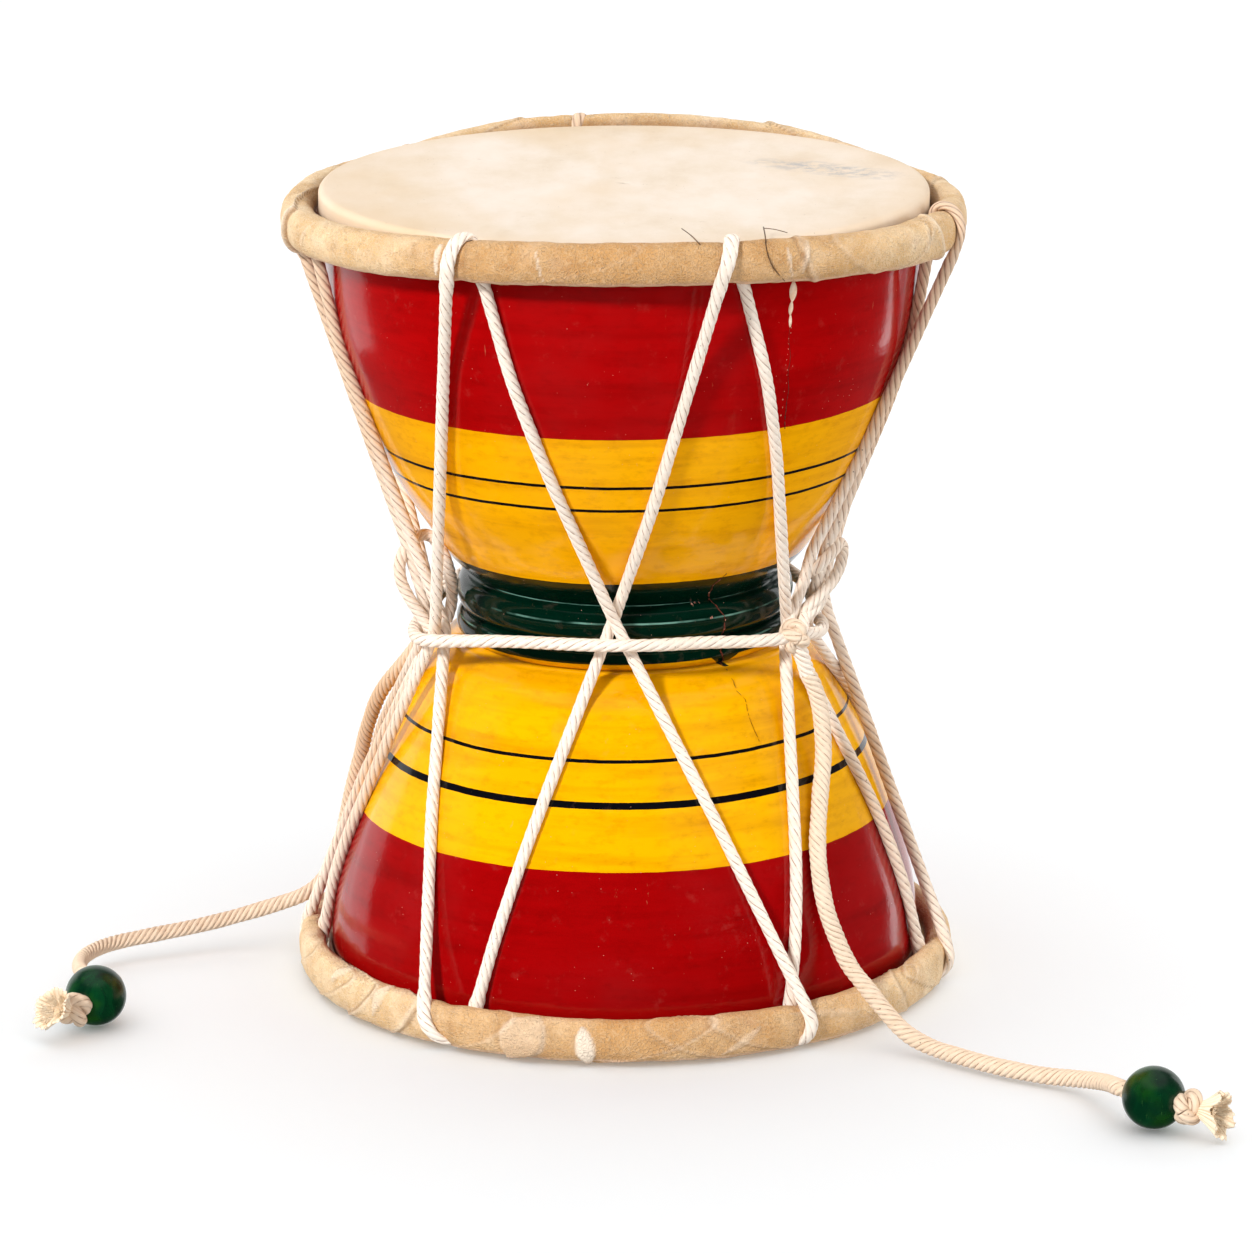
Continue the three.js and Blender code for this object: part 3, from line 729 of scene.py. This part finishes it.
def hoop_piece(name, hoop, loops, seams, flaps, seed):
    bearings = np.repeat(np.arange(HOOP_AROUND) * 360 / HOOP_AROUND, HOOP_SECTION)
    section = np.tile(np.arange(HOOP_SECTION) * 2 * math.pi / HOOP_SECTION, HOOP_AROUND)
    outwards = np.stack([np.sin(np.radians(bearings)), -np.cos(np.radians(bearings)), bearings * 0], 1)
    cos, sin = np.cos(section), np.sin(section)
    out = hoop["ring"] + hoop["half_width"] * rounded(cos)
    height = hoop_height(hoop, bearings) + hoop["half_height"] * rounded(sin)
    base = outwards * out[:, None] + UP * height[:, None]
    normal = outwards * (cos / hoop["half_width"])[:, None] + UP * (sin / hoop["half_height"])[:, None]
    normal /= np.linalg.norm(normal, axis=1)[:, None]
    relief = Relief(hoop, bearings, section, base, seed)
    for seam in seams:
        relief.seam(*seam)
    grain = ripple(base, 1.2, seed + 3)
    for flap in flaps:
        relief.flap(*flap, grain)
    for loop in loops:
        relief.cord(loop)
    # Painted shade over the inner side of the section, which faces the drum.
    relief.edge += 0.9 * np.clip((relief.turned - 105) / 40, 0, 1)
    points = base + normal * relief.push[:, None]
    points[:, 2] = np.maximum(points[:, 2], 0.05)
    piece = make_object(name, points, grid_faces(HOOP_AROUND, HOOP_SECTION, close_rows=True))
    set_float(piece, "edge", np.clip(relief.edge, 0, 1))
    set_float(piece, "pale", np.clip(relief.pale, 0, 1))
    # A painted highlight: a thin pale line along the lower outside of the hoop's section.
    set_float(piece, "rim", bell(relief.turned + 60, 9))
    return piece


upper_hoop = hoop_piece("upper_rolled_hide", UPPER_HOOP, TOP_LOOPS[:-1], UPPER_SEAMS, UPPER_FLAPS, 1)
lower_hoop = hoop_piece("lower_rolled_hide", LOWER_HOOP, BOTTOM_LOOPS, LOWER_SEAMS, LOWER_FLAPS, 5)


def hair(name, points, thick):
    return rope(name, spline(points, 0.6), thick, 9.0, strands=1, sides=6, depth=0, swell=0)


def on_upper_hoop(bearing, section, lift=0.25):
    """A point just over the hide, at a bearing and at an angle round the hoop's section."""
    angle = math.radians(section)
    out = UPPER_HOOP["ring"] + (UPPER_HOOP["half_width"] + lift) * math.cos(angle)
    rise = (UPPER_HOOP["half_height"] + lift) * math.sin(angle)
    return at_bearing(bearing, out, hoop_height(UPPER_HOOP, bearing) + rise)


over_hoop = [on_upper_hoop(*place) for place in ((24.6, 96, 0.8), (23.6, 39), (24.4, -5), (27.2, -56))]
over_skin = [at_bearing(27.4, 70.8, 200.0), at_bearing(29.4, 71.6, 199.6), at_bearing(31.4, 73.0, 198.8)]
hairs = [hair("stray_hair_a", [(13.4, -66.0, 200.6), on_upper_hoop(11.4, 96, 1.6), on_upper_hoop(12.6, 66)],
              0.26),
         hair("stray_hair_b", [at_bearing(27.4, 70.5, 200.2), *over_hoop], 0.32),
         hair("stray_hair_c", over_skin, 0.2)]

# ---- Beads and end knots ----

BORE_ROUND = 0.25
FACE_STEPS = 40
YARNS = 24
YARN_SIDES = 6
BRUSH_STEPS = 16
BRUSH_FLATNESS = 0.72
BRUSH_FIBRES = 620
BRUSHES = {
    "left": dict(direction=(-0.66, -0.66, 0.34), side=(0.5, -0.4, 0.75), length=6.2, spread=4.4, seed=11),
    "right": dict(direction=(0.78, -0.62, 0.02), side=(0.2, -0.3, 0.9), length=7.2, spread=4.0, seed=12)}


def bead_piece(name, bead):
    """A ball with a rounded bore, turned so that its bore points to the knot."""
    mouth = math.sqrt(BEAD ** 2 - BEAD_BORE ** 2)
    half = math.asin(BEAD_BORE / BEAD) + 0.06
    angles = np.linspace(half, math.pi - half, FACE_STEPS)
    outline = [(BEAD * math.sin(angle), -BEAD * math.cos(angle)) for angle in angles]
    outline += [(BEAD_BORE + BORE_ROUND, mouth - 0.05), (BEAD_BORE, mouth - 0.5), (BEAD_BORE, -mouth + 0.5),
                (BEAD_BORE + BORE_ROUND, -mouth + 0.05)]
    piece = lathe(name, outline, 64)
    turn = Vector(UP).rotation_difference(Vector(bead["knot_side"]))
    piece.data.transform(Matrix.Translation(Vector(bead["centre"]) * MM) @ turn.to_matrix().to_4x4())
    return piece


def brush_piece(name, start, direction, side, length, spread, seed):
    """The untwisted end of a cord: a flared bundle of yarns, with loose fibres in its hollow mouth."""
    rng = random.Random(seed)
    direction = unit(direction)
    side = unit(np.array(side) - direction * (np.array(side) @ direction))
    third = np.cross(direction, side)
    bend = [rng.uniform(-1, 1) for _ in range(YARNS)]
    points, valleys = [], []

    def outwards(turn):
        return side * math.cos(turn) + third * BRUSH_FLATNESS * math.sin(turn)

    def lean_aside():
        return rng.uniform(-0.3, 0.3)

    # Rings out along the outside of the bundle and back in along its inside.
    for k in range(2 * BRUSH_STEPS):
        outer = k < BRUSH_STEPS
        share = (k if outer else 2 * BRUSH_STEPS - 1 - k) / (BRUSH_STEPS - 1)
        for j in range(YARNS * YARN_SIDES):
            turn = 2 * math.pi * j / (YARNS * YARN_SIDES)
            yarn = turn / (2 * math.pi) * YARNS
            own = bend[int(yarn) % YARNS]
            ridge = abs(math.sin(math.pi * (yarn + 0.5 * share * own)))
            ragged = 1 + 0.10 * math.sin(5 * turn + seed) + 0.07 * own
            radius = 1.7 + spread * share ** 1.3 + 0.6 * (ridge - 0.6) * (0.4 + share)
            if not outer:
                radius = max(radius - 0.5 - 1.5 * (1 - share), 0.2)
            reach = length * (share if outer else 0.25 + 0.75 * share) * ragged
            points.append(start + direction * reach + outwards(turn) * radius)
            valleys.append(1 - ridge)
    faces = grid_faces(2 * BRUSH_STEPS, YARNS * YARN_SIDES)
    for _ in range(BRUSH_FIBRES):
        out = outwards(rng.uniform(0, 2 * math.pi))
        depth = rng.uniform(0.2, 1.0)
        root = start + direction * length * (0.5 + 0.32 * depth) + out * (0.9 + spread * 0.72 * depth)
        lean = unit(direction + out * 0.55 + third * lean_aside() + side * lean_aside())
        reach = rng.uniform(0.6, 1.5) * (0.6 + 0.6 * depth)
        across = unit(np.cross(lean, out))
        thick = rng.uniform(0.07, 0.13)
        base = len(points)
        for share, size in ((0, thick), (0.6, thick), (1, thick * 0.4)):
            centre = root + lean * reach * share
            aside = across * size
            points += [centre + aside, centre + np.cross(across, lean) * size, centre - aside]
        faces += [tuple(base + corner for corner in face) for face in grid_faces(3, 3)]
    points = np.array(points)
    points[:, 2] = np.maximum(points[:, 2], 0.15)
    piece = make_object(name, points, faces)
    # The valleys between the yarns, which the material darkens as painted shade.
    set_float(piece, "groove", valleys + [0.2] * (len(points) - len(valleys)))
    return piece


end_pieces = {}
for side, bead in BEADS.items():
    bead_object = bead_piece(f"{side}_wooden_bead", bead)
    direction = unit(bead["knot_side"])
    knot_centre = np.array(bead["centre"]) + direction * (BEAD + 1.6)
    ball = knot(f"{side}_stopper_knot", knot_centre, direction, 3.0, 3.5, seed=6)
    shape = BRUSHES[side]
    start = knot_centre + direction * 1.5 + unit(shape["direction"]) * 0.6
    brush = brush_piece(f"{side}_frayed_end", start, **shape)
    end_pieces[side] = dict(bead=bead_object, knot=ball, brush=brush)

# ---- Materials ----


def colour(value):
    """An sRGB colour given as (r, g, b) of 255, as linear values with alpha."""
    shares = [part / 255 for part in value]
    linear = [share / 12.92 if share <= 0.04045 else ((share + 0.055) / 1.055) ** 2.4 for share in shares]
    return (*linear, 1)


class Graph:
    """The nodes of a material or world, with short calls to add and join them."""

    def __init__(self, owner, shader="Principled BSDF", place="Object"):
        self.owner = bpy.data.materials.new(owner) if isinstance(owner, str) else owner
        self.owner.use_nodes = True
        self.tree = self.owner.node_tree
        self.shader = self.tree.nodes[shader]
        self.place = self.tree.nodes.new("ShaderNodeTexCoord").outputs[place]
        self.x, self.y, self.z = self.node("SeparateXYZ", {0: self.place}).outputs

    def put(self, socket, value):
        if isinstance(value, bpy.types.NodeSocket):
            self.tree.links.new(value, socket)
        else:
            socket.default_value = value

    def node(self, kind, inputs, **settings):
        made = self.tree.nodes.new(f"ShaderNode{kind}")
        for key, value in settings.items():
            setattr(made, key, value)
        for key, value in inputs.items():
            self.put(made.inputs[key], value)
        return made

    def math(self, operation, a, b=0.0):
        return self.node("Math", {0: a, 1: b}, operation=operation).outputs[0]

    def add(self, a, b):
        return self.math("ADD", a, b)

    def times(self, a, b):
        return self.math("MULTIPLY", a, b)

    def size(self, a):
        return self.math("ABSOLUTE", a)

    def noise(self, scale, detail, roughness=0.5, distortion=0.0, where=None):
        """A noise pattern. Its scale is in lumps per metre, as one number or one for each axis."""
        where = self.place if where is None else where
        if isinstance(scale, tuple):
            where = self.node("Mapping", {"Vector": where, "Scale": scale}).outputs[0]
            scale = 1
        inputs = {"Vector": where, "Scale": scale, "Detail": detail, "Roughness": roughness,
                  "Distortion": distortion}
        return self.node("TexNoise", inputs).outputs["Fac"]

    def from_middle(self, pattern):
        """How far a noise is from its middle, which is 0 along thin wandering lines."""
        return self.size(self.math("SUBTRACT", pattern, 0.5))

    def voronoi(self, scale, feature="F1"):
        made = self.node("TexVoronoi", {"Vector": self.place, "Scale": scale}, feature=feature)
        return made.outputs["Distance"]

    def ramp(self, pattern, stops, interpolation="LINEAR"):
        made = self.node("ValToRGB", {"Fac": pattern})
        made.color_ramp.interpolation = interpolation
        elements = made.color_ramp.elements
        elements[0].position, elements[0].color = stops[0][0], colour(stops[0][1])
        elements[1].position, elements[1].color = stops[-1][0], colour(stops[-1][1])
        for place, tone in stops[1:-1]:
            elements.new(place).color = colour(tone)
        return made.outputs["Color"]

    def mix(self, share, a, b, blend="MIX"):
        made = self.node("Mix", {}, data_type="RGBA", blend_type=blend)
        self.put(made.inputs["Factor"], share)
        for key, tone in (("A", a), ("B", b)):
            self.put(made.inputs[key], tone if isinstance(tone, bpy.types.NodeSocket) else colour(tone))
        return made.outputs["Result"]

    def range(self, value, low, high, to_low=0.0, to_high=1.0, **settings):
        """From to_low, where the value is low, to to_high where it is high. Low may be the larger one."""
        inputs = {"Value": value, "From Min": low, "From Max": high, "To Min": to_low, "To Max": to_high}
        return self.node("MapRange", inputs, **settings).outputs[0]

    def stain(self, base, tone, pattern, low, high, amount, blend="MIX"):
        """The base, with up to an amount of a tone where the pattern passes from low to high."""
        return self.mix(self.range(pattern, low, high, 0, amount), base, tone, blend)

    def specks(self, base, tone, scale, dot, spread, group, amount):
        """The base with dots of a tone, in groups; dot and group are ranges of their two patterns."""
        dots = self.range(self.voronoi(scale), *dot)
        groups = self.range(self.noise(spread, 1), *group)
        return self.mix(self.times(self.times(dots, groups), amount), base, tone)

    def attribute(self, name):
        return self.node("Attribute", {}, attribute_name=name).outputs["Fac"]

    def bump(self, height, strength, distance, under=None):
        inputs = {"Height": height, "Strength": strength, "Distance": distance}
        if under is not None:
            inputs["Normal"] = under
        return self.node("Bump", inputs).outputs["Normal"]

    def finish(self, **sockets):
        for key, value in sockets.items():
            self.put(self.shader.inputs[key.replace("_", " ")], value)
        return self.owner


RED = (168, 3, 5)
RED_LOWER = (152, 2, 4)
YELLOW_UPPER = (247, 173, 0)
YELLOW_LOWER = (242, 174, 0)
GREEN = (0, 31, 20)
BLACK = (10, 9, 14)
SMOKE = (206, 182, 160)
# Paint from the bottom up: height in millimetres where each colour starts.
BANDS = [(0, RED_LOWER), (43.2, YELLOW_LOWER), (57.65, BLACK), (59.15, YELLOW_LOWER), (67.35, BLACK),
         (68.65, YELLOW_LOWER), (87.6, GREEN), (109.1, YELLOW_UPPER), (129.9, BLACK), (130.65, YELLOW_UPPER),
         (136.05, BLACK), (137.35, YELLOW_UPPER), (149.8, RED)]
BANDS_SPAN = 200
DRIP_BEARING = 36.2
# Painted highlights along the crests of the waist rings, where the green is lightened to pale teal: height
# and half width in metres.
RING_CREST_HIGHLIGHTS = [(0.1022, 0.00022), (0.0984, 0.0003), (0.0916, 0.00022)]


def lacquer():
    g = Graph("lacquer_paint")
    # The bands tilt a little, and their edges wander.
    wander = g.times(g.math("SUBTRACT", g.noise(22, 2), 0.5), 0.0007)
    wobble = g.times(g.math("SUBTRACT", g.noise(260, 2), 0.5), 0.0002)
    height = g.add(g.add(g.add(g.z, g.times(g.x, -0.0078)), wander), wobble)
    # A drip of the waist's green that ran down along the split.
    turn = math.radians(DRIP_BEARING)
    beside = g.add(g.times(g.x, math.cos(turn)), g.times(g.y, math.sin(turn)))
    drip = g.times(g.range(g.size(beside), 0.0042, 0.0006, 0, 0.0026), g.range(g.y, 0, -0.01))
    below_waist = g.times(g.range(g.z, 0.0840, 0.0852), g.range(g.z, 0.0895, 0.0885))
    height = g.add(height, g.times(drip, below_waist))
    bands = [(start / BANDS_SPAN, tone) for start, tone in BANDS]
    paint = g.ramp(g.math("DIVIDE", height, BANDS_SPAN * MM), bands, "CONSTANT")
    # Smoky streaks from the turning, dull patches, specks and scratches.
    streaks = g.noise((16, 16, 230), 5, 0.62)
    paint = g.stain(paint, SMOKE, streaks, 0.46, 0.74, 0.6, "MULTIPLY")
    paint = g.stain(paint, SMOKE, g.noise((12, 12, 55), 3), 0.5, 0.75, 0.4, "MULTIPLY")
    worn = g.mix(0.4, paint, (255, 190, 170))
    paint = g.stain(paint, worn, g.noise(210, 4, 0.7), 0.60, 0.72, 0.05)
    dull = g.noise((231, 231, 495), 5, 0.72)
    paint = g.stain(paint, SMOKE, dull, 0.5, 0.68, 0.35, "MULTIPLY")
    paint = g.specks(paint, (238, 170, 150), 600, (0.066, 0.04), 150, (0.50, 0.56), 0.75)
    scratches = g.noise((420, 420, 36), 4, 0.7)
    paint = g.stain(paint, (226, 150, 110), scratches, 0.70, 0.76, 0.3)
    # Painted highlight lines on the ring crests.
    for crest, half in RING_CREST_HIGHLIGHTS:
        away = g.size(g.math("SUBTRACT", g.add(g.z, wobble), crest))
        crest_glint = g.times(g.range(away, half, half * 0.3), g.range(g.noise(70, 5), 0.45, 0.6))
        paint = g.mix(g.times(crest_glint, 0.8), paint, (128, 178, 162))
    fine = g.bump(g.noise(800, 3), 0.07, 0.0004)
    waves = g.bump(g.noise((30, 30, 170), 3), 0.1, 0.0012, fine)
    return g.finish(Base_Color=paint, Roughness=g.range(g.noise(90, 3), 0.3, 0.7, 0.08, 0.18), Normal=waves,
                    Coat_Weight=0.05, Coat_Roughness=0.04, Specular_IOR_Level=0.28)


def parchment():
    g = Graph("parchment_skin")
    mottle = g.noise((44, 24, 30), 6, 0.66)
    tone = g.ramp(mottle, [(0.3, (222, 202, 178)), (0.44, (231, 214, 194)), (0.56, (236, 221, 205)),
                           (0.74, (240, 228, 215))])
    tone = g.stain(tone, (224, 196, 158), g.noise((26, 14, 20), 4), 0.48, 0.68, 0.6)
    # A grey oval smear towards the back right.
    across = g.math("DIVIDE", g.add(g.x, -0.050), 0.021)
    behind = g.math("DIVIDE", g.add(g.add(g.y, g.times(g.x, 0.5)), -0.0415), 0.009)
    away = g.add(g.times(across, across), g.times(behind, behind))
    broken = g.noise((266, 342, 380), 6, 0.75)
    smear = g.times(g.range(away, 1.1, 0.1), g.range(broken, 0.44, 0.60))
    tone = g.mix(g.times(smear, 0.8), tone, (172, 168, 170))
    # A yellowed rim.
    radius = g.math("SQRT", g.add(g.times(g.x, g.x), g.times(g.y, g.y)))
    tone = g.stain(tone, (222, 190, 148), radius, 0.060, 0.073, 0.35)
    scuffs = g.noise((240, 300, 200), 5, 0.7)
    tone = g.stain(tone, (176, 152, 122), scuffs, 0.66, 0.74, 0.4)
    tone = g.specks(tone, (120, 92, 62), 420, (0.08, 0.04), 120, (0.58, 0.62), 0.6)
    grain = g.bump(g.noise(1400, 3), 0.12, 0.0003)
    waves = g.bump(g.noise((60, 50, 60), 3), 0.15, 0.0006, grain)
    return g.finish(Base_Color=tone, Roughness=0.62, Normal=waves, Specular_IOR_Level=0.3)


def hide(name, lighter):
    g = Graph(name)
    tone = g.ramp(g.noise(110, 6, 0.66), [(0.28, (200, 150, 94)), (0.42, (222, 180, 124)),
                                                    (0.56, (238, 204, 158)), (0.74, (250, 226, 192))])
    tone = g.stain(tone, (220, 166, 92), g.noise(42, 4), 0.48, 0.66, 0.6)
    tone = g.stain(tone, (176, 120, 66), g.noise(66, 5, 0.68), 0.54, 0.68, 0.5)
    tone = g.stain(tone, (250, 220, 192), g.noise(75, 3, 0.6), 0.56, 0.74, 0.4)
    # A pebbled grain with pores, pale wrinkles and dark creases.
    cells = g.voronoi(1150, "DISTANCE_TO_EDGE")
    wrinkles = g.from_middle(g.noise(260, 3, 0.6, 1.2))
    creases = g.from_middle(g.noise((190, 190, 330), 3, 0.6))
    tone = g.stain(tone, (253, 234, 204), cells, 0.1, 0.0, 0.45)
    tone = g.stain(tone, (170, 116, 62), g.voronoi(2300), 0.3, 0.0, 0.4)
    tone = g.stain(tone, (252, 232, 204), wrinkles, 0.018, 0.0, 0.4)
    tone = g.stain(tone, (146, 98, 56), creases, 0.012, 0.0, 0.35)
    tone = g.mix(lighter, tone, (255, 232, 200))
    # Handled to a darker gold at the front.
    handled = g.times(g.range(g.size(g.x), 0.066, 0.035), g.range(g.y, 0.0, -0.03))
    tone = g.mix(handled, tone, (232, 216, 198), "MULTIPLY")
    # pale: paler hide on the flaps, with painted highlights along raised seams and flap edges; rim: a
    # painted highlight along the hoop's lower outside; edge: painted shade at seams, under flap edges,
    # beside cords and on the inner side.
    for mark, amount, shade in (("pale", 0.75, (254, 240, 222)), ("rim", 0.6, (255, 218, 190)),
                                ("edge", 0.65, (136, 90, 52))):
        tone = g.mix(g.times(g.attribute(mark), amount), tone, shade)
    grain = g.bump(g.range(cells, 0.2, 0), 0.6, 0.0003)
    ridges = g.bump(g.range(wrinkles, 0.03, 0.0), 0.5, 0.0003, grain)
    folds = g.bump(g.noise(420, 4, 0.6), 0.5, 0.0005, ridges)
    return g.finish(Base_Color=tone, Roughness=0.6, Normal=folds, Specular_IOR_Level=0.3)


def cotton(name, pale, shade, deep):
    g = Graph(name)
    around, along = g.times(g.attribute("around"), 7.0), g.times(g.attribute("along"), 0.5)
    fibres = g.noise(1, 4, 0.62, where=g.node("CombineXYZ", {0: around, 1: along}).outputs[0])
    tone = g.mix(g.range(fibres, 0.3, 0.62), shade, pale)
    tone = g.stain(tone, shade, g.noise(120, 3), 0.52, 0.8, 0.4)
    # Painted shade in the grooves between the strands, broken into dashes.
    groove = g.attribute("groove")
    broken = g.range(g.noise(520, 2), 0.42, 0.58, 0.12, 0.9)
    tone = g.mix(g.times(g.range(groove, 0.66, 1.0), broken), tone, deep)
    # Painted shade: tanner at the sides and back, with darker grooves there.
    shaded_sides = g.stain(g.mix(0.8, tone, (222, 184, 140), "MULTIPLY"), (140, 96, 60), groove, 0.3, 1.0, 0.8)
    aside = g.math("MAXIMUM", g.range(g.size(g.x), 0.048, 0.062), g.range(g.y, 0.02, 0.04))
    tone = g.mix(g.times(aside, g.range(g.z, 0.02, 0.06, 0.2, 0.7)), tone, shaded_sides)
    tone = g.specks(tone, (84, 62, 44), 640, (0.14, 0.08), 360, (0.58, 0.61), 0.75)
    height = g.add(g.times(fibres, 0.6), g.times(groove, -0.8))
    return g.finish(Base_Color=tone, Roughness=0.9, Normal=g.bump(height, 0.6, 0.0004),
                    Specular_IOR_Level=0.2, Sheen_Weight=0.1)


def stained_wood():
    g = Graph("green_bead_wood")
    grain = g.noise((300, 300, 60), 4, 0.6, 0.6)
    tone = g.ramp(grain, [(0.3, (0, 30, 16)), (0.5, (0, 46, 22)), (0.7, (3, 60, 28))])
    tone = g.stain(tone, (26, 80, 10), g.noise(110, 3), 0.5, 0.68, 0.75)
    tone = g.stain(tone, (0, 24, 14), g.noise(75, 2), 0.5, 0.66, 0.5)
    flecks = g.noise((1500, 1500, 260), 4, 0.7)
    tone = g.stain(tone, (96, 150, 78), flecks, 0.66, 0.74, 0.4)
    return g.finish(Base_Color=tone, Roughness=0.27, Normal=g.bump(grain, 0.12, 0.0003),
                    Specular_IOR_Level=0.45)


def frayed():
    g = Graph("frayed_cotton")
    tone = g.mix(g.noise(700, 3), (242, 220, 190), (250, 236, 212))
    # Painted shade in the valleys between the yarns.
    tone = g.stain(tone, (206, 160, 112), g.attribute("groove"), 0.3, 1.0, 0.75)
    return g.finish(Base_Color=tone, Roughness=0.95, Specular_IOR_Level=0.15)


def two_tone(name, tone, second, scale, roughness):
    g = Graph(name)
    mixed = g.mix(g.range(g.noise(scale, 3), 0.35, 0.65), tone, second)
    return g.finish(Base_Color=mixed, Roughness=roughness, Specular_IOR_Level=0.3)


materials = dict(lacquer=lacquer(), parchment=parchment(), hide=hide("tan_hide", 0.1),
                 pale_hide=hide("pale_tan_hide", 0.16),
                 cotton=cotton("lacing_cotton", (252, 241, 228), (240, 220, 200), (146, 98, 72)),
                 # The striker cords' cotton is a darker copy of the lacing's: painted shade that offsets the
                 # brighter light on them near the floor.
                 tail=cotton("striker_cotton_shaded", (243, 224, 202), (230, 203, 174), (150, 104, 70)),
                 stained_wood=stained_wood(), frayed=frayed(),
                 crack=two_tone("split_edge", (60, 10, 8), (120, 50, 36), 900, 0.6),
                 split=two_tone("paint_split", (190, 124, 8), (140, 88, 6), 900, 0.5),
                 chip=two_tone("bare_chips", (232, 172, 150), (200, 104, 84), 1200, 0.6),
                 glue=two_tone("dried_glue", (255, 232, 208), (244, 206, 172), 700, 0.35),
                 hair=two_tone("dark_hair", (74, 50, 32), (120, 88, 60), 500, 0.5))


def dress(piece, material, slot, *nodes):
    piece.data.materials.clear()
    piece.data.materials.append(materials[material])
    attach(piece, "root")
    if nodes:
        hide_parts(*nodes)


dress(shell, "lacquer", "lacquer", "shell")
dress(upper_skin, "parchment", "parchment", "upper_skin")
dress(lower_skin, "parchment", "parchment", "lower_skin")
dress(upper_hoop, "hide", "hide", "upper_hoop")
dress(lower_hoop, "pale_hide", "hide", "lower_hoop")
dress(lacing, "cotton", "cotton", "lacing_cord")
dress(waist_cord, "cotton", "cotton", "waist_cord")
dress(waist_knot, "tail", "cotton", "waist_knot")
for pieces, material, slot in ((spare_cords, "cotton", "cotton"), (crack_pieces[:2], "crack", "lacquer"),
                               (crack_pieces[2:], "split", "lacquer"), (chip_pieces, "chip", "lacquer"),
                               (drop_pieces, "glue", "lacquer"), (hairs, "hair", "hide")):
    for piece in pieces:
        dress(piece, material, slot)
for side, parts in end_pieces.items():
    cord, path = tails[side]["piece"], tails[side]["line"] * MM
    dress(cord, "tail", "cotton", f"{side}_tail")
    dress(parts["bead"], "stained_wood", "stained_wood", f"{side}_bead")
    dress(parts["knot"], "tail", "cotton", f"{side}_end_knot")
    dress(parts["brush"], "frayed", "cotton")

# ---- Floor and light ----

FLOOR_HALF = 9000
FLOOR_DROP = 0.3
FLOOR_TONE = (0.87, 0.9, 0.92, 1)
WHITE = (1, 1, 1, 1)
LIGHT_AIM = Vector((0, 0, 0.09))  # metres, as are a light's distance and a box's sizes
# Suns: name, bearing, elevation, power, and how wide each one looks in degrees.
DRUM_SUNS = [("key", -36, 33, 3.05, 9), ("fill", 42, 26, 0.7, 40), ("left_side", -98, 12, 1.7, 50),
             ("right_side", 98, 12, 2.1, 50), ("bounce", 0, -44, 1.7, 90)]
FLOOR_SUN = ("floor_wash", 0, 86, 2.3, 150)
# Tall light boxes, one behind either side: name, bearing, power and width.
BOXES = [("left_box", -128, 1.8, 0.5), ("right_box", 128, 1.6, 0.2)]
BOX_HEIGHT = 1.2
BOX_ELEVATION = 3
BOX_DISTANCE = 1.4


def make_floor():
    across = (-FLOOR_HALF, FLOOR_HALF)
    corners = [(x, y, -FLOOR_DROP) for x in across for y in across]
    floor = make_object("floor", corners, [(0, 2, 3, 1)], smooth=False)
    g = Graph("white_floor")
    floor.data.materials.append(g.finish(Base_Color=FLOOR_TONE, Roughness=0.9, Specular_IOR_Level=0,
                                         Emission_Color=WHITE, Emission_Strength=0.13))
    # The drum is lit by the lights alone, so that its colours stay deep.
    floor.visible_glossy = False
    floor.visible_diffuse = False
    floor.visible_shadow = False
    return floor


def make_world():
    """A sky that glows overhead and behind, for the lacquer to reflect."""
    world = bpy.data.worlds.new("studio")
    bpy.context.scene.world = world
    g = Graph(world, "Background", "Generated")
    smooth = dict(interpolation_type="SMOOTHSTEP")
    overhead = g.range(g.z, 0.66, 0.86, 0.0, 0.55, **smooth)
    behind = g.range(g.y, 0.72, 0.78, 0.0, 1.0, **smooth)
    front = g.range(g.y, -0.2, 0.6, 0.02, 0.1, **smooth)
    glow = g.math("MAXIMUM", g.math("MAXIMUM", overhead, behind), front)
    g.finish(Color=WHITE, Strength=glow)


def add_light(name, kind, bearing, elevation, distance, power, **settings):
    """A light that shines at the drum's middle."""
    data = bpy.data.lights.new(name, kind)
    data.energy = power
    for key, value in settings.items():
        setattr(data, key, value)
    light = put_in_scene(name, data)
    rise = math.radians(elevation)
    towards = Vector(at_bearing(bearing, math.cos(rise), math.sin(rise)))
    light.location = LIGHT_AIM + towards * distance
    light.rotation_euler = towards.to_track_quat("Z", "Y").to_euler()
    return light


def link_light(light, piece, state):
    """State INCLUDE: the light falls on this piece only. EXCLUDE: on everything but this piece."""
    lit = bpy.data.collections.new(f"{light.name}_lit")
    lit.objects.link(piece)
    light.light_linking.receiver_collection = lit
    lit.collection_objects[0].light_linking.link_state = state


def soft_sun(name, bearing, elevation, power, width):
    light = add_light(name, "SUN", bearing, elevation, 3, power, angle=math.radians(width))
    light.visible_glossy = False
    return light


floor = make_floor()
make_world()
for settings in DRUM_SUNS:
    link_light(soft_sun(*settings), floor, "EXCLUDE")
link_light(soft_sun(*FLOOR_SUN), floor, "INCLUDE")
for name, bearing, power, width in BOXES:
    add_light(name, "AREA", bearing, BOX_ELEVATION, BOX_DISTANCE, power, shape="RECTANGLE", size=width,
              size_y=BOX_HEIGHT)
bpy.context.scene.view_settings.view_transform = "Standard"
